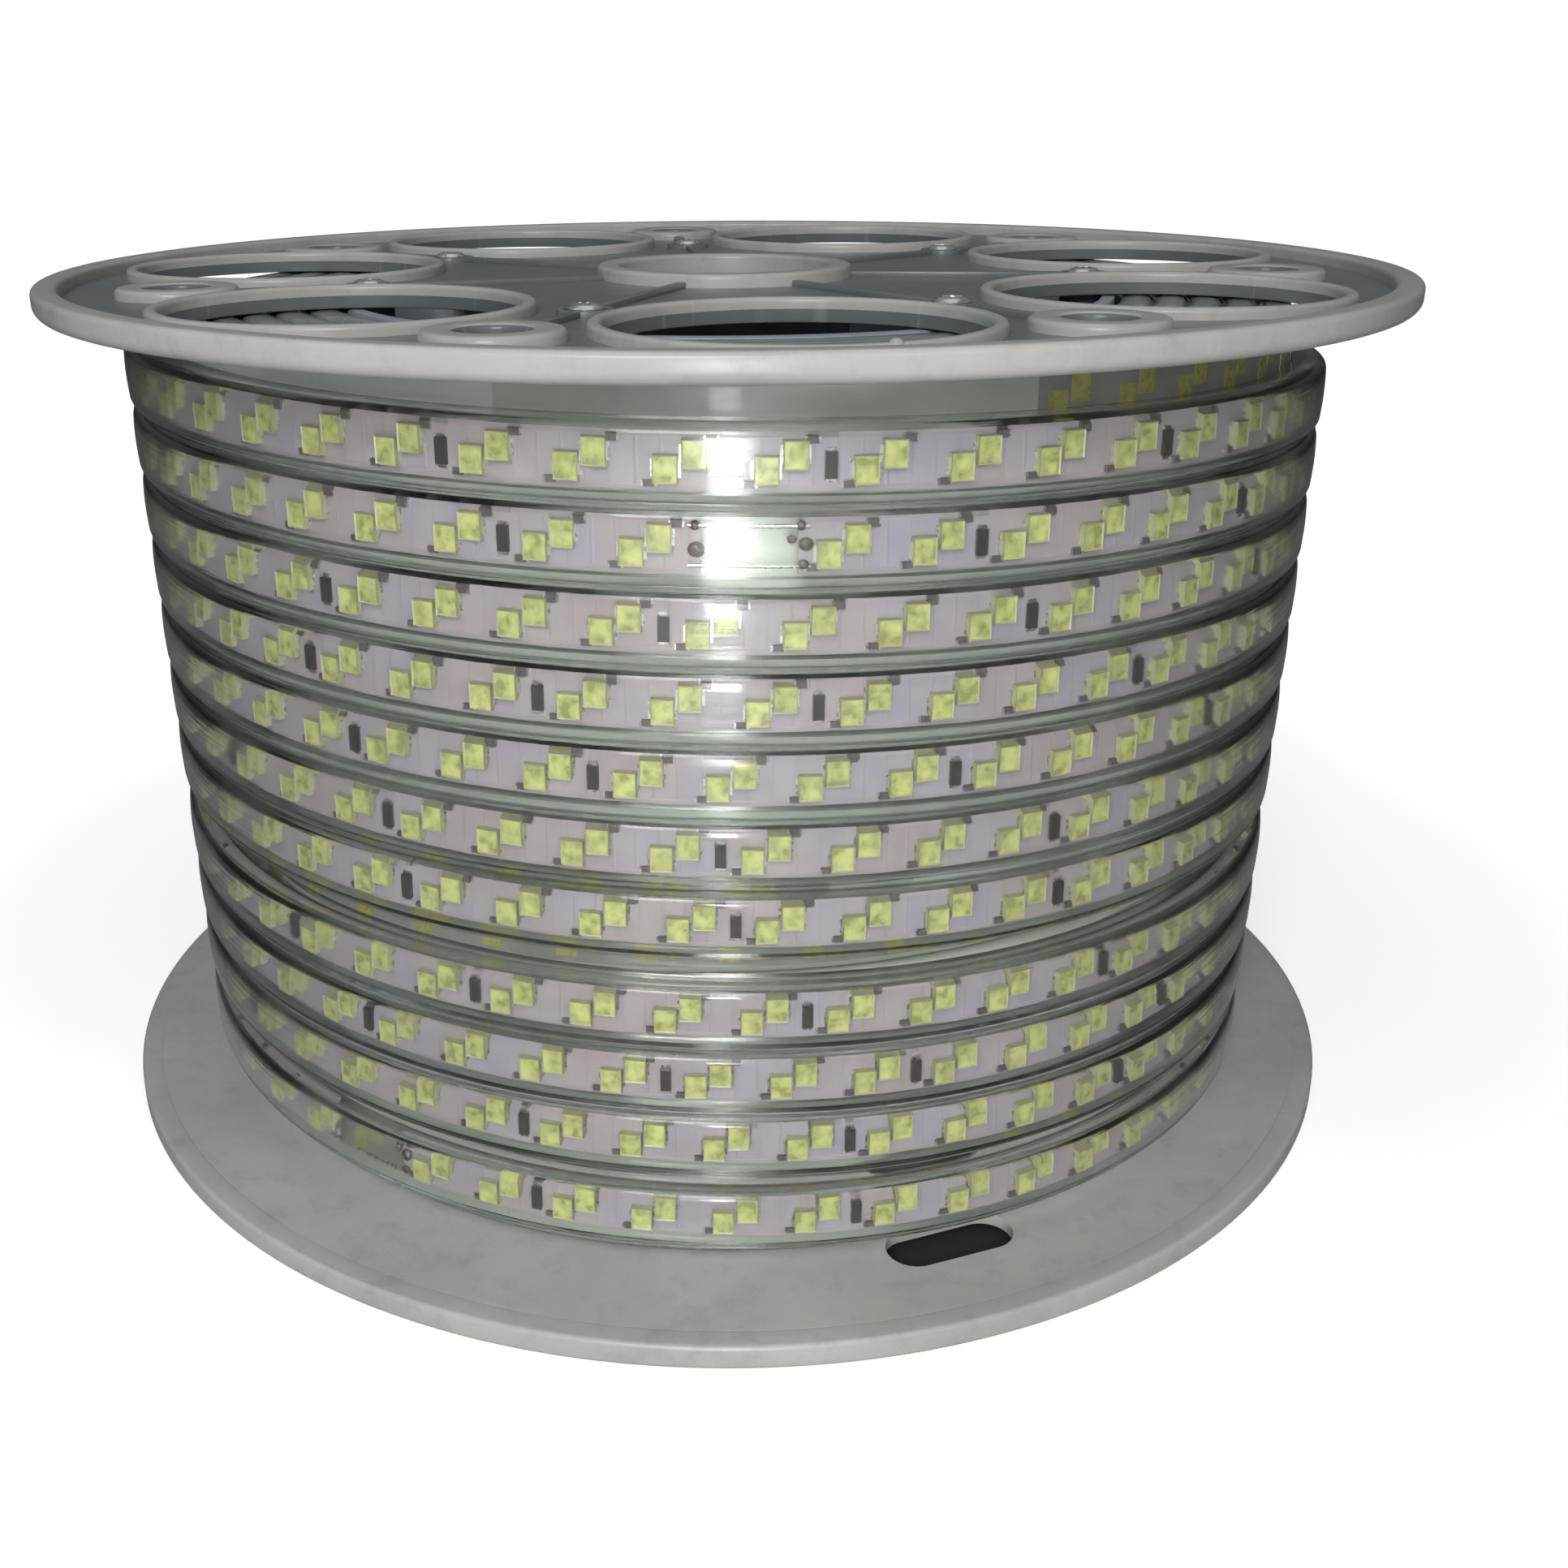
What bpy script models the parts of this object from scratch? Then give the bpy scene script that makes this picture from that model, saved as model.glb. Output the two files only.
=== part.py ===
# LED rope light, wound in six layers on a moulded plastic reel that stands on its lower flange.
# Metres, +Z along the reel's axis, origin in the middle of the face it stands on, -Y to the front.
# The rope is a flat clear sleeve with a circuit strip in its channel. Its outer layer runs down from
# the upper flange, and angles are measured from the front towards +X, the way the rope runs.

import math

import bmesh
import bpy
from mathutils import Matrix, Vector

# Reel
FLANGE_RADIUS = 0.150
FLANGE_DEPTH = 0.0054
WEB_THICKNESS = 0.0026
BEAD_WIDTH = 0.0055
BEAD_ROUNDING = 0.0012
BARREL_RADIUS = 0.088
BARREL_WALL = 0.003
FLANGE_SPACING = 0.1775
SEAT_GAP = 0.0003

# Hub at the middle of each flange
BORE_RADIUS = 0.024
HUB_WALL = 0.005
HUB_COLLAR_DEPTH = 0.016

# Large openings and small ringed eyes of the upper flange, and the ribs of both flanges
OPENING_COUNT = 7
OPENING_SPACING = 0.0165
OPENING_RIM_WIDTH = 0.0026
OPENING_MARGIN = 0.0045
EYE_RADIUS = 0.0066
EYE_RIM_WIDTH = 0.0060
EYE_MARGIN = 0.0108
RIM_RECESS = 0.0006
RIB_THICKNESS = 0.0024
RIB_RECESS = 0.0016
FIRST_OPENING_ANGLE = math.radians(7)

# Slot of the lower flange, where the rope's inner end was tucked through to start the winding
SLOT_ANGLE = math.radians(21.5)
SLOT_LENGTH = 0.028
SLOT_WIDTH = 0.012
SLOT_MARGIN = 0.013

# Screws that hold the flanges to the columns inside the barrel
SCREW_HEAD_RADIUS = 0.0036
SCREW_HEAD_HEIGHT = 0.0019
SCREW_SHANK_RADIUS = 0.0015
SCREW_LENGTH = 0.014
SCREW_CLEARANCE = 0.0005
COLUMN_RADIUS = 0.005
COLUMN_OVERLAP = 0.0012
COLUMN_SET_BACK = 0.0002
PILOT_SPARE_DEPTH = 0.003

# Rope and its winding
SLEEVE_HEIGHT = 0.0138
SLEEVE_THICKNESS = 0.0075
SLEEVE_ROUNDING = 0.0017
LAYER_COUNT = 6
TURN_GAP = 0.0003
ROLL_TAPER = 0.0033
LAYER_BITE = 0.0005
LEAD_TURNS = 0.525
RISE_TURNS = 0.14
STRAY_GAPS = ((6.5, 0.0051), (9.5, 0.0030))
STRAY_TURNS = 0.4

# Channel, circuit strip and end plug
CHANNEL_HEIGHT = 0.0102
CHANNEL_THICKNESS = 0.0029
CHANNEL_COVER = 0.0020
STRIP_HEIGHT = 0.0096
STRIP_THICKNESS = 0.0006
STRIP_LIFT = 0.0003
PLUG_LENGTH = 0.008
PLUG_SPIGOT_LENGTH = 0.006

# Facets
FLANGE_STEPS = 49
BARREL_STEPS = 42
TURN_STEPS = 24
OPENING_SIDES = 20
EYE_SIDES = 12
HOLE_SIDES = 8
SCREW_STEPS = 8

# Worked out from the sizes above
LOWER_FACE_Z = FLANGE_DEPTH
UPPER_FACE_Z = LOWER_FACE_Z + FLANGE_SPACING
OPENING_PITCH = 2 * math.pi / OPENING_COUNT
OPENING_FIELD = FLANGE_RADIUS - BEAD_WIDTH - OPENING_MARGIN
HALF_PITCH_SINE = math.sin(OPENING_PITCH / 2)
OPENING_OUTER = (OPENING_FIELD * HALF_PITCH_SINE - OPENING_SPACING / 2) / (1 + HALF_PITCH_SINE)
OPENING_RADIUS = OPENING_OUTER - OPENING_RIM_WIDTH
OPENING_CIRCLE = OPENING_FIELD - OPENING_OUTER
EYE_OUTER = EYE_RADIUS + EYE_RIM_WIDTH
EYE_CIRCLE = FLANGE_RADIUS - BEAD_WIDTH - EYE_MARGIN - EYE_OUTER
SLOT_CIRCLE = FLANGE_RADIUS - BEAD_WIDTH - SLOT_MARGIN - SLOT_WIDTH / 2
COLUMN_CIRCLE = BARREL_RADIUS - BARREL_WALL + COLUMN_OVERLAP - COLUMN_RADIUS
FLANGE_SIDES = ((UPPER_FACE_Z, -1), (LOWER_FACE_Z, 1))
ROLL_BORE = (BARREL_RADIUS + SEAT_GAP) / math.cos(math.pi / TURN_STEPS)
ROLL_TOP_RADIUS = ROLL_BORE + LAYER_COUNT * SLEEVE_THICKNESS
TURN_PITCH = SLEEVE_HEIGHT + TURN_GAP
HIGHEST_TURN_Z = UPPER_FACE_Z - SEAT_GAP - TURN_GAP - SLEEVE_HEIGHT / 2
LOWEST_TURN_Z = LOWER_FACE_Z + SEAT_GAP + TURN_GAP + SLEEVE_HEIGHT / 2
STRAY_TOTAL = sum(gap for _, gap in STRAY_GAPS)
FIRST_TURN = -LEAD_TURNS
LAST_TURN = FIRST_TURN + (HIGHEST_TURN_Z - LOWEST_TURN_Z - STRAY_TOTAL) / TURN_PITCH
CHANNEL_START = FIRST_TURN + RISE_TURNS / 2
CHANNEL_OFFSET = SLEEVE_THICKNESS / 2 - CHANNEL_COVER - CHANNEL_THICKNESS / 2
STRIP_OFFSET = CHANNEL_OFFSET - CHANNEL_THICKNESS / 2 + STRIP_LIFT + STRIP_THICKNESS / 2


def clear_scene():
    for obj in list(bpy.data.objects):
        bpy.data.objects.remove(obj, do_unlink=True)


def new_collection(name):
    collection = bpy.data.collections.new(name)
    bpy.context.scene.collection.children.link(collection)
    return collection


def plastic(name, colour, roughness, metallic=0.0):
    material = bpy.data.materials.new(name)
    material.use_nodes = True
    shader = material.node_tree.nodes["Principled BSDF"]
    shader.inputs["Base Color"].default_value = (*colour, 1.0)
    shader.inputs["Roughness"].default_value = roughness
    shader.inputs["Metallic"].default_value = metallic
    material.diffuse_color = (*colour, 1.0)
    return material


def new_object(name, mesh, collection, material=None):
    obj = bpy.data.objects.new(name, mesh)
    collection.objects.link(obj)
    if material:
        mesh.materials.clear()
        mesh.materials.append(material)
    return obj


def hide_cutter(obj):
    obj.hide_render = True
    obj.display_type = "WIRE"
    return obj


def mesh_from(name, bm):
    mesh = bpy.data.meshes.new(name)
    bm.to_mesh(mesh)
    bm.free()
    return mesh


def polar(radius, angle, z=0.0):
    return Vector((radius * math.sin(angle), -radius * math.cos(angle), z))


def turned(name, profile, steps, collection, material=None):
    """A closed (radius, z) outline turned round Z. The outline runs down its outer side."""
    bm = bmesh.new()
    verts = [bm.verts.new((radius, 0.0, z)) for radius, z in profile]
    for first, second in zip(verts, verts[1:] + verts[:1]):
        if first.co.x > 0 or second.co.x > 0:
            bm.edges.new((first, second))
    obj = new_object(name, mesh_from(name, bm), collection, material)
    screw = obj.modifiers.new("turn", "SCREW")
    screw.steps = steps
    screw.render_steps = steps
    screw.use_merge_vertices = True
    screw.merge_threshold = 0.00001
    return obj


def join_with(obj, operation, other):
    boolean = obj.modifiers.new(other.name, "BOOLEAN")
    boolean.operation = operation
    boolean.solver = "EXACT"
    boolean.object = other


def finished_mesh(obj, name):
    """The mesh that an object has after its modifiers, with its doubles merged."""
    bpy.context.view_layer.update()
    evaluated = obj.evaluated_get(bpy.context.evaluated_depsgraph_get())
    mesh = bpy.data.meshes.new_from_object(evaluated)
    mesh.name = name
    bm = bmesh.new()
    bm.from_mesh(mesh)
    bmesh.ops.remove_doubles(bm, verts=bm.verts, dist=0.000002)
    bm.to_mesh(mesh)
    bm.free()
    return mesh


def add_cylinder(bm, radius_low, radius_high, low, high, centre, sides):
    """A cylinder or cone that stands on Z between two heights, added to a bmesh."""
    place = Matrix.Translation((centre.x, centre.y, (low + high) / 2))
    bmesh.ops.create_cone(bm, cap_ends=True, segments=sides, radius1=radius_low,
                          radius2=radius_high, depth=high - low, matrix=place)


def pattern_angles(offset=0.0):
    return [(index + offset) * OPENING_PITCH for index in range(OPENING_COUNT)]


# Flange: the rope's side is at z = 0 and the outer side at z = FLANGE_DEPTH.

def flange_plate(name, helpers):
    bead_inner = FLANGE_RADIUS - BEAD_WIDTH
    hub_outer = BORE_RADIUS + HUB_WALL
    return turned(name, [
        (BORE_RADIUS, FLANGE_DEPTH),
        (hub_outer, FLANGE_DEPTH),
        (hub_outer, WEB_THICKNESS),
        (bead_inner, WEB_THICKNESS),
        (bead_inner + BEAD_ROUNDING, FLANGE_DEPTH),
        (FLANGE_RADIUS - BEAD_ROUNDING, FLANGE_DEPTH),
        (FLANGE_RADIUS, FLANGE_DEPTH - BEAD_ROUNDING),
        (FLANGE_RADIUS, BEAD_ROUNDING),
        (FLANGE_RADIUS - BEAD_ROUNDING, 0.0),
        (hub_outer, 0.0),
        (hub_outer, -HUB_COLLAR_DEPTH),
        (BORE_RADIUS, -HUB_COLLAR_DEPTH),
    ], FLANGE_STEPS, helpers)


def flange_rims(helpers):
    """The raised discs round the openings and eyes, which the openings are cut through."""
    low = WEB_THICKNESS / 2
    high = FLANGE_DEPTH - RIM_RECESS
    bm = bmesh.new()
    for angle in pattern_angles():
        add_cylinder(bm, OPENING_OUTER, OPENING_OUTER, low, high,
                     polar(OPENING_CIRCLE, angle), OPENING_SIDES)
    for angle in pattern_angles(0.5):
        add_cylinder(bm, EYE_OUTER, EYE_OUTER, low, high, polar(EYE_CIRCLE, angle), EYE_SIDES)
    return new_object("flange_rims", mesh_from("flange_rims", bm), helpers)


def flange_ribs(name, outer, helpers):
    """Radial ribs from the hub out to a radius. Each one has a screw in it."""
    inner = BORE_RADIUS + HUB_WALL / 2
    low = WEB_THICKNESS / 2
    high = FLANGE_DEPTH - RIB_RECESS
    bm = bmesh.new()
    for angle in pattern_angles(0.5):
        size = Matrix.Diagonal((RIB_THICKNESS, outer - inner, high - low, 1.0))
        place = Matrix.Translation((0.0, -(outer + inner) / 2, (low + high) / 2))
        bmesh.ops.create_cube(bm, size=1.0, matrix=Matrix.Rotation(angle, 4, "Z") @ place @ size)
    return new_object(name, mesh_from(name, bm), helpers)


def flange_openings(helpers):
    below = -FLANGE_DEPTH
    above = 2 * FLANGE_DEPTH
    bm = bmesh.new()
    for angle in pattern_angles():
        add_cylinder(bm, OPENING_RADIUS, OPENING_RADIUS, below, above,
                     polar(OPENING_CIRCLE, angle), OPENING_SIDES)
    for angle in pattern_angles(0.5):
        add_cylinder(bm, EYE_RADIUS, EYE_RADIUS, below, above, polar(EYE_CIRCLE, angle),
                     EYE_SIDES)
    return new_object("flange_openings", mesh_from("flange_openings", bm), helpers)


def flange_screw_holes(helpers):
    """A clearance hole for each shank, and a pocket in the rib for its head."""
    bm = bmesh.new()
    pocket_radius = SCREW_HEAD_RADIUS + SCREW_CLEARANCE
    for angle in pattern_angles(0.5):
        centre = polar(COLUMN_CIRCLE, angle)
        add_cylinder(bm, pocket_radius, pocket_radius, WEB_THICKNESS, 2 * FLANGE_DEPTH,
                     centre, SCREW_STEPS)
    pockets = new_object("flange_pockets", mesh_from("flange_pockets", bm), helpers)
    bm = bmesh.new()
    hole_radius = SCREW_SHANK_RADIUS + SCREW_CLEARANCE
    for angle in pattern_angles(0.5):
        add_cylinder(bm, hole_radius, hole_radius, -FLANGE_DEPTH, 2 * FLANGE_DEPTH,
                     polar(COLUMN_CIRCLE, angle), HOLE_SIDES)
    return pockets, new_object("flange_holes", mesh_from("flange_holes", bm), helpers)


def flange_slot(helpers):
    """A slot with round ends, as a cutter through the lower flange."""
    half = (SLOT_LENGTH - SLOT_WIDTH) / 2
    bm = bmesh.new()
    add_cylinder(bm, SLOT_WIDTH / 2, SLOT_WIDTH / 2, -FLANGE_DEPTH, 2 * FLANGE_DEPTH,
                 Vector((0.0, 0.0)), 2 * HOLE_SIDES)
    for vert in bm.verts:
        vert.co.x += math.copysign(half, vert.co.x)
        vert.co.y -= SLOT_CIRCLE
    bmesh.ops.rotate(bm, verts=bm.verts, matrix=Matrix.Rotation(SLOT_ANGLE, 3, "Z"))
    return new_object("flange_slot", mesh_from("flange_slot", bm), helpers)


def placed_flange(plate, name, parts, material):
    mesh = finished_mesh(plate, name)
    mesh.set_sharp_from_angle(angle=math.radians(35))
    return new_object(name, mesh, parts, material)


def build_upper_flange(parts, helpers, pockets, holes, material):
    plate = flange_plate("upper_plate", helpers)
    join_with(plate, "UNION", flange_rims(helpers))
    join_with(plate, "UNION", flange_ribs("upper_ribs", EYE_CIRCLE - EYE_RADIUS - EYE_RIM_WIDTH / 2,
                                          helpers))
    join_with(plate, "DIFFERENCE", flange_openings(helpers))
    join_with(plate, "DIFFERENCE", pockets)
    join_with(plate, "DIFFERENCE", holes)
    upper = placed_flange(plate, "upper_flange", parts, material)
    upper.location.z = UPPER_FACE_Z
    upper.rotation_euler.z = FIRST_OPENING_ANGLE


def build_lower_flange(parts, helpers, pockets, holes, material):
    """The same plate turned over. Its slot is cut at the angle that it has after the turn."""
    plate = flange_plate("lower_plate", helpers)
    join_with(plate, "UNION", flange_ribs("lower_ribs", FLANGE_RADIUS - BEAD_WIDTH / 2, helpers))
    join_with(plate, "DIFFERENCE", pockets)
    join_with(plate, "DIFFERENCE", holes)
    slot = flange_slot(helpers)
    slot.rotation_euler.z = -2 * SLOT_ANGLE + FIRST_OPENING_ANGLE
    join_with(plate, "DIFFERENCE", slot)
    lower = placed_flange(plate, "lower_flange", parts, material)
    lower.location.z = LOWER_FACE_Z
    lower.rotation_euler = (0.0, math.pi, FIRST_OPENING_ANGLE)


# Barrel: a tube with a screw column behind each rib of the flanges.

def build_barrel(parts, helpers, material):
    low = LOWER_FACE_Z + SEAT_GAP
    high = UPPER_FACE_Z - SEAT_GAP
    inner = BARREL_RADIUS - BARREL_WALL
    barrel = turned("barrel", [
        (inner, high), (BARREL_RADIUS, high), (BARREL_RADIUS, low), (inner, low),
    ], BARREL_STEPS, parts, material)
    columns = bmesh.new()
    pilots = bmesh.new()
    pilot_radius = SCREW_SHANK_RADIUS + SEAT_GAP
    pilot_depth = SCREW_LENGTH - WEB_THICKNESS + PILOT_SPARE_DEPTH
    for angle in pattern_angles(0.5):
        centre = polar(COLUMN_CIRCLE, angle + FIRST_OPENING_ANGLE)
        add_cylinder(columns, COLUMN_RADIUS, COLUMN_RADIUS, low + COLUMN_SET_BACK,
                     high - COLUMN_SET_BACK, centre, HOLE_SIDES)
        for face_z, side in FLANGE_SIDES:
            ends = sorted((face_z - side * WEB_THICKNESS, face_z + side * pilot_depth))
            add_cylinder(pilots, pilot_radius, pilot_radius, *ends, centre, HOLE_SIDES)
    join_with(barrel, "UNION", new_object("columns", mesh_from("columns", columns), helpers))
    join_with(barrel, "DIFFERENCE", new_object("pilots", mesh_from("pilots", pilots), helpers))


def build_screws(parts, helpers, material):
    head_top = SEAT_GAP + SCREW_HEAD_HEIGHT
    screw = turned("screw_profile", [
        (0.0, head_top),
        (SCREW_HEAD_RADIUS * 0.6, head_top),
        (SCREW_HEAD_RADIUS, SEAT_GAP + SCREW_HEAD_HEIGHT * 0.5),
        (SCREW_HEAD_RADIUS, SEAT_GAP),
        (SCREW_SHANK_RADIUS, SEAT_GAP),
        (SCREW_SHANK_RADIUS, SEAT_GAP - SCREW_LENGTH + SCREW_SHANK_RADIUS),
        (0.0, SEAT_GAP - SCREW_LENGTH),
    ], SCREW_STEPS, helpers)
    mesh = finished_mesh(screw, "screw")
    mesh.set_sharp_from_angle(angle=math.radians(35))
    for face_z, side in FLANGE_SIDES:
        where = "upper" if side < 0 else "lower"
        for index, angle in enumerate(pattern_angles(0.5)):
            obj = new_object(f"{where}_screw_{index + 1}", mesh, parts, material)
            obj.location = polar(COLUMN_CIRCLE, angle + FIRST_OPENING_ANGLE,
                                 face_z - side * WEB_THICKNESS)
            obj.rotation_euler.x = 0.0 if side < 0 else math.pi


# Rope

def smooth(share):
    share = min(max(share, 0.0), 1.0)
    return share * share * (3.0 - 2.0 * share)


def turn_height(turn):
    """Height of the rope's middle. It falls by a pitch a turn, and twice by a gap more."""
    strays = sum(gap * smooth((turn - at) / STRAY_TURNS + 0.5) for at, gap in STRAY_GAPS)
    fall = TURN_PITCH * max(turn - FIRST_TURN, 0.0) + strays
    return max(HIGHEST_TURN_Z - fall, LOWEST_TURN_Z)


def layer_radius(z):
    """Outer radius of the roll, which is a little wider at the top."""
    share = (UPPER_FACE_Z - z) / FLANGE_SPACING
    return ROLL_TOP_RADIUS - ROLL_TAPER * share


def route_point(turn):
    """Middle of the rope. The outer layer rises from the layer below it before its first turn."""
    z = turn_height(turn)
    sunk = SLEEVE_THICKNESS * (1.0 - smooth((turn - FIRST_TURN) / RISE_TURNS))
    radius = layer_radius(z) - SLEEVE_THICKNESS / 2 - sunk
    return polar(radius, turn * 2 * math.pi, z)


def stations(first, last):
    """Numbers of the rope's stations between two turns. Whatever follows the rope uses the same ones."""
    return range(math.ceil(first * TURN_STEPS), math.floor(last * TURN_STEPS) + 1)


def route(numbers):
    return [route_point(number / TURN_STEPS) for number in numbers]


def past_end(distance):
    """A point in line with the rope's last stretch, this far past its outer end."""
    before, end = route(stations(FIRST_TURN, LAST_TURN))[-2:]
    return end + (end - before).normalized() * distance


def box_outline(height, thickness, offset, rounding=0.0):
    """Section of something that follows the rope: x outwards, y up, its outer corners cut."""
    low = offset - thickness / 2
    high = offset + thickness / 2
    half = height / 2
    if rounding == 0.0:
        return [(low, -half), (high, -half), (high, half), (low, half)]
    return [(low, -half), (high - rounding, -half), (high, -half + rounding),
            (high, half - rounding), (high - rounding, half), (low, half)]


def swept(name, outline, points, collection, material=None):
    """An outline carried along points and closed at both ends, as a mesh."""
    profile_data = bpy.data.curves.new(name + "_outline", "CURVE")
    profile_data.dimensions = "2D"
    spline = profile_data.splines.new("POLY")
    spline.points.add(len(outline) - 1)
    for point, (x, y) in zip(spline.points, outline):
        point.co = (x, y, 0.0, 1.0)
    spline.use_cyclic_u = True
    profile = bpy.data.objects.new(name + "_outline", profile_data)
    collection.objects.link(profile)
    path_data = bpy.data.curves.new(name + "_path", "CURVE")
    path_data.dimensions = "3D"
    path_data.twist_mode = "Z_UP"
    path_data.bevel_mode = "OBJECT"
    path_data.bevel_object = profile
    path_data.use_fill_caps = True
    spline = path_data.splines.new("POLY")
    spline.points.add(len(points) - 1)
    for point, place in zip(spline.points, points):
        point.co = (*place, 1.0)
    path = bpy.data.objects.new(name + "_path", path_data)
    collection.objects.link(path)
    mesh = finished_mesh(path, name)
    obj = new_object(name, mesh, collection, material)
    obj.matrix_world = path.matrix_world
    bpy.data.objects.remove(path, do_unlink=True)
    bpy.data.objects.remove(profile, do_unlink=True)
    bm = bmesh.new()
    bm.from_mesh(mesh)
    bmesh.ops.recalc_face_normals(bm, faces=bm.faces)
    bm.to_mesh(mesh)
    bm.free()
    return obj


def build_roll(parts, helpers, material):
    """The roll's turns: the inner layers as a ring, the outer layer as the rope itself."""
    top = UPPER_FACE_Z - SEAT_GAP
    bottom = LOWER_FACE_Z + SEAT_GAP
    under = SLEEVE_THICKNESS - LAYER_BITE
    roll = turned("rope_sleeve", [
        (ROLL_BORE, top),
        (layer_radius(top) - under, top),
        (layer_radius(bottom) - under, bottom),
        (ROLL_BORE, bottom),
    ], TURN_STEPS, parts, material)
    rope = swept("outer_layer",
                 box_outline(SLEEVE_HEIGHT, SLEEVE_THICKNESS, 0.0, SLEEVE_ROUNDING),
                 route(stations(FIRST_TURN, LAST_TURN)), helpers)
    join_with(roll, "UNION", rope)
    channel = swept("channel", box_outline(CHANNEL_HEIGHT, CHANNEL_THICKNESS, CHANNEL_OFFSET),
                    route(stations(CHANNEL_START, LAST_TURN)) + [past_end(PLUG_LENGTH)], helpers)
    join_with(roll, "DIFFERENCE", channel)


def build_circuit(parts, material):
    swept("circuit_strip", box_outline(STRIP_HEIGHT, STRIP_THICKNESS, STRIP_OFFSET),
          route(stations(CHANNEL_START, LAST_TURN)[1:-1]), parts, material)


def build_end_plug(parts, helpers, material):
    """The plug that closes the sleeve at the rope's outer end, with a spigot in its channel."""
    above_layer = LAYER_BITE + SEAT_GAP
    plug = swept("end_plug", box_outline(SLEEVE_HEIGHT, SLEEVE_THICKNESS - above_layer,
                                         above_layer / 2, SLEEVE_ROUNDING),
                 [past_end(SEAT_GAP), past_end(PLUG_LENGTH)], parts, material)
    spigot = swept("plug_spigot",
                   box_outline(CHANNEL_HEIGHT - 2 * SEAT_GAP, CHANNEL_THICKNESS - 2 * SEAT_GAP,
                               CHANNEL_OFFSET),
                   [past_end(-PLUG_SPIGOT_LENGTH), past_end(PLUG_LENGTH / 2)], helpers)
    join_with(plug, "UNION", spigot)


def main():
    clear_scene()
    parts = new_collection("led_rope_light")
    helpers = new_collection("cutters")
    shell_white = plastic("moulded_white", (0.62, 0.62, 0.59), 0.45)
    barrel_white = plastic("barrel_white", (0.55, 0.55, 0.53), 0.5)
    clear_vinyl = plastic("clear_vinyl", (0.50, 0.53, 0.47), 0.15)
    board_white = plastic("board_white", (0.72, 0.68, 0.74), 0.5)
    plug_vinyl = plastic("plug_vinyl", (0.60, 0.62, 0.56), 0.3)
    screw_steel = plastic("screw_steel", (0.60, 0.61, 0.63), 0.35, 1.0)
    pockets, holes = flange_screw_holes(helpers)
    build_upper_flange(parts, helpers, pockets, holes, shell_white)
    build_lower_flange(parts, helpers, pockets, holes, shell_white)
    build_barrel(parts, helpers, barrel_white)
    build_screws(parts, helpers, screw_steel)
    build_roll(parts, helpers, clear_vinyl)
    build_circuit(parts, board_white)
    build_end_plug(parts, helpers, plug_vinyl)
    for helper in helpers.objects:
        hide_cutter(helper)


main()
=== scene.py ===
# LED rope light on its reel: the visual pieces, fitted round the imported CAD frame.
# Metres, +Z up the reel's axis, -Y to the front. Angles are measured from the front towards +X.

import math

import bmesh
import bpy
from mathutils import Matrix, Vector


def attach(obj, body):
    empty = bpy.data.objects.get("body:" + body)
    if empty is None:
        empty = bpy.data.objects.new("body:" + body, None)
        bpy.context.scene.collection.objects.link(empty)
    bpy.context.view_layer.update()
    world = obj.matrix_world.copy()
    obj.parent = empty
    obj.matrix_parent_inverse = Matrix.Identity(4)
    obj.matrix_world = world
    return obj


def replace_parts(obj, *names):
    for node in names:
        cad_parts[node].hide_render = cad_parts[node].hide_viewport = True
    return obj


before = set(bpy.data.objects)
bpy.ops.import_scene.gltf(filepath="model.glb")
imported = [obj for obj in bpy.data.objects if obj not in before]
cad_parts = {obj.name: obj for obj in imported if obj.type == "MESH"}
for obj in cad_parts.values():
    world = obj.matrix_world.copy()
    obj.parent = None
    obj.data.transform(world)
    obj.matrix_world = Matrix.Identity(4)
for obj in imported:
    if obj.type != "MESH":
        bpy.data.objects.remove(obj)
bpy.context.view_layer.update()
print("frame loaded:", len(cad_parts), "nodes")


# Small tools

# Adds a node. An input given as a socket is linked, and any other is set.
def place(tree, kind, settings=None, inputs=None):
    node = tree.nodes.new(kind)
    for name, value in (settings or {}).items():
        setattr(node, name, value)
    for name, value in (inputs or {}).items():
        if isinstance(value, bpy.types.NodeSocket):
            tree.links.new(value, node.inputs[name])
        else:
            node.inputs[name].default_value = value
    return node


def maths(tree, operation, first, second=0.0):
    return place(tree, "ShaderNodeMath", {"operation": operation}, {0: first, 1: second}).outputs[0]


def mixColour(tree, share, first, second, mode="MIX"):
    node = place(tree, "ShaderNodeMix", {"data_type": "RGBA", "blend_type": mode},
                 {0: share, 6: first, 7: second})
    return node.outputs[2]


def noise(tree, vector, scale, detail, roughness=0.5):
    return place(tree, "ShaderNodeTexNoise", None,
                 {"Vector": vector, "Scale": scale, "Detail": detail,
                  "Roughness": roughness}).outputs[0]


def ramp(tree, fac, low, high, lowValue=0.0, highValue=1.0):
    node = place(tree, "ShaderNodeMapRange", {"interpolation_type": "SMOOTHSTEP"},
                 {"Value": fac, "From Min": low, "From Max": high,
                  "To Min": lowValue, "To Max": highValue})
    return node.outputs[0]


def newGroup(name, inputs, outputs):
    group = bpy.data.node_groups.new(name, "ShaderNodeTree")
    for socketName, kind, value in inputs:
        socket = group.interface.new_socket(name=socketName, in_out="INPUT", socket_type=kind)
        if kind != "NodeSocketVector":
            socket.default_value = value
    for socketName, kind in outputs:
        group.interface.new_socket(name=socketName, in_out="OUTPUT", socket_type=kind)
    return group, group.nodes.new("NodeGroupInput"), group.nodes.new("NodeGroupOutput")


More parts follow.
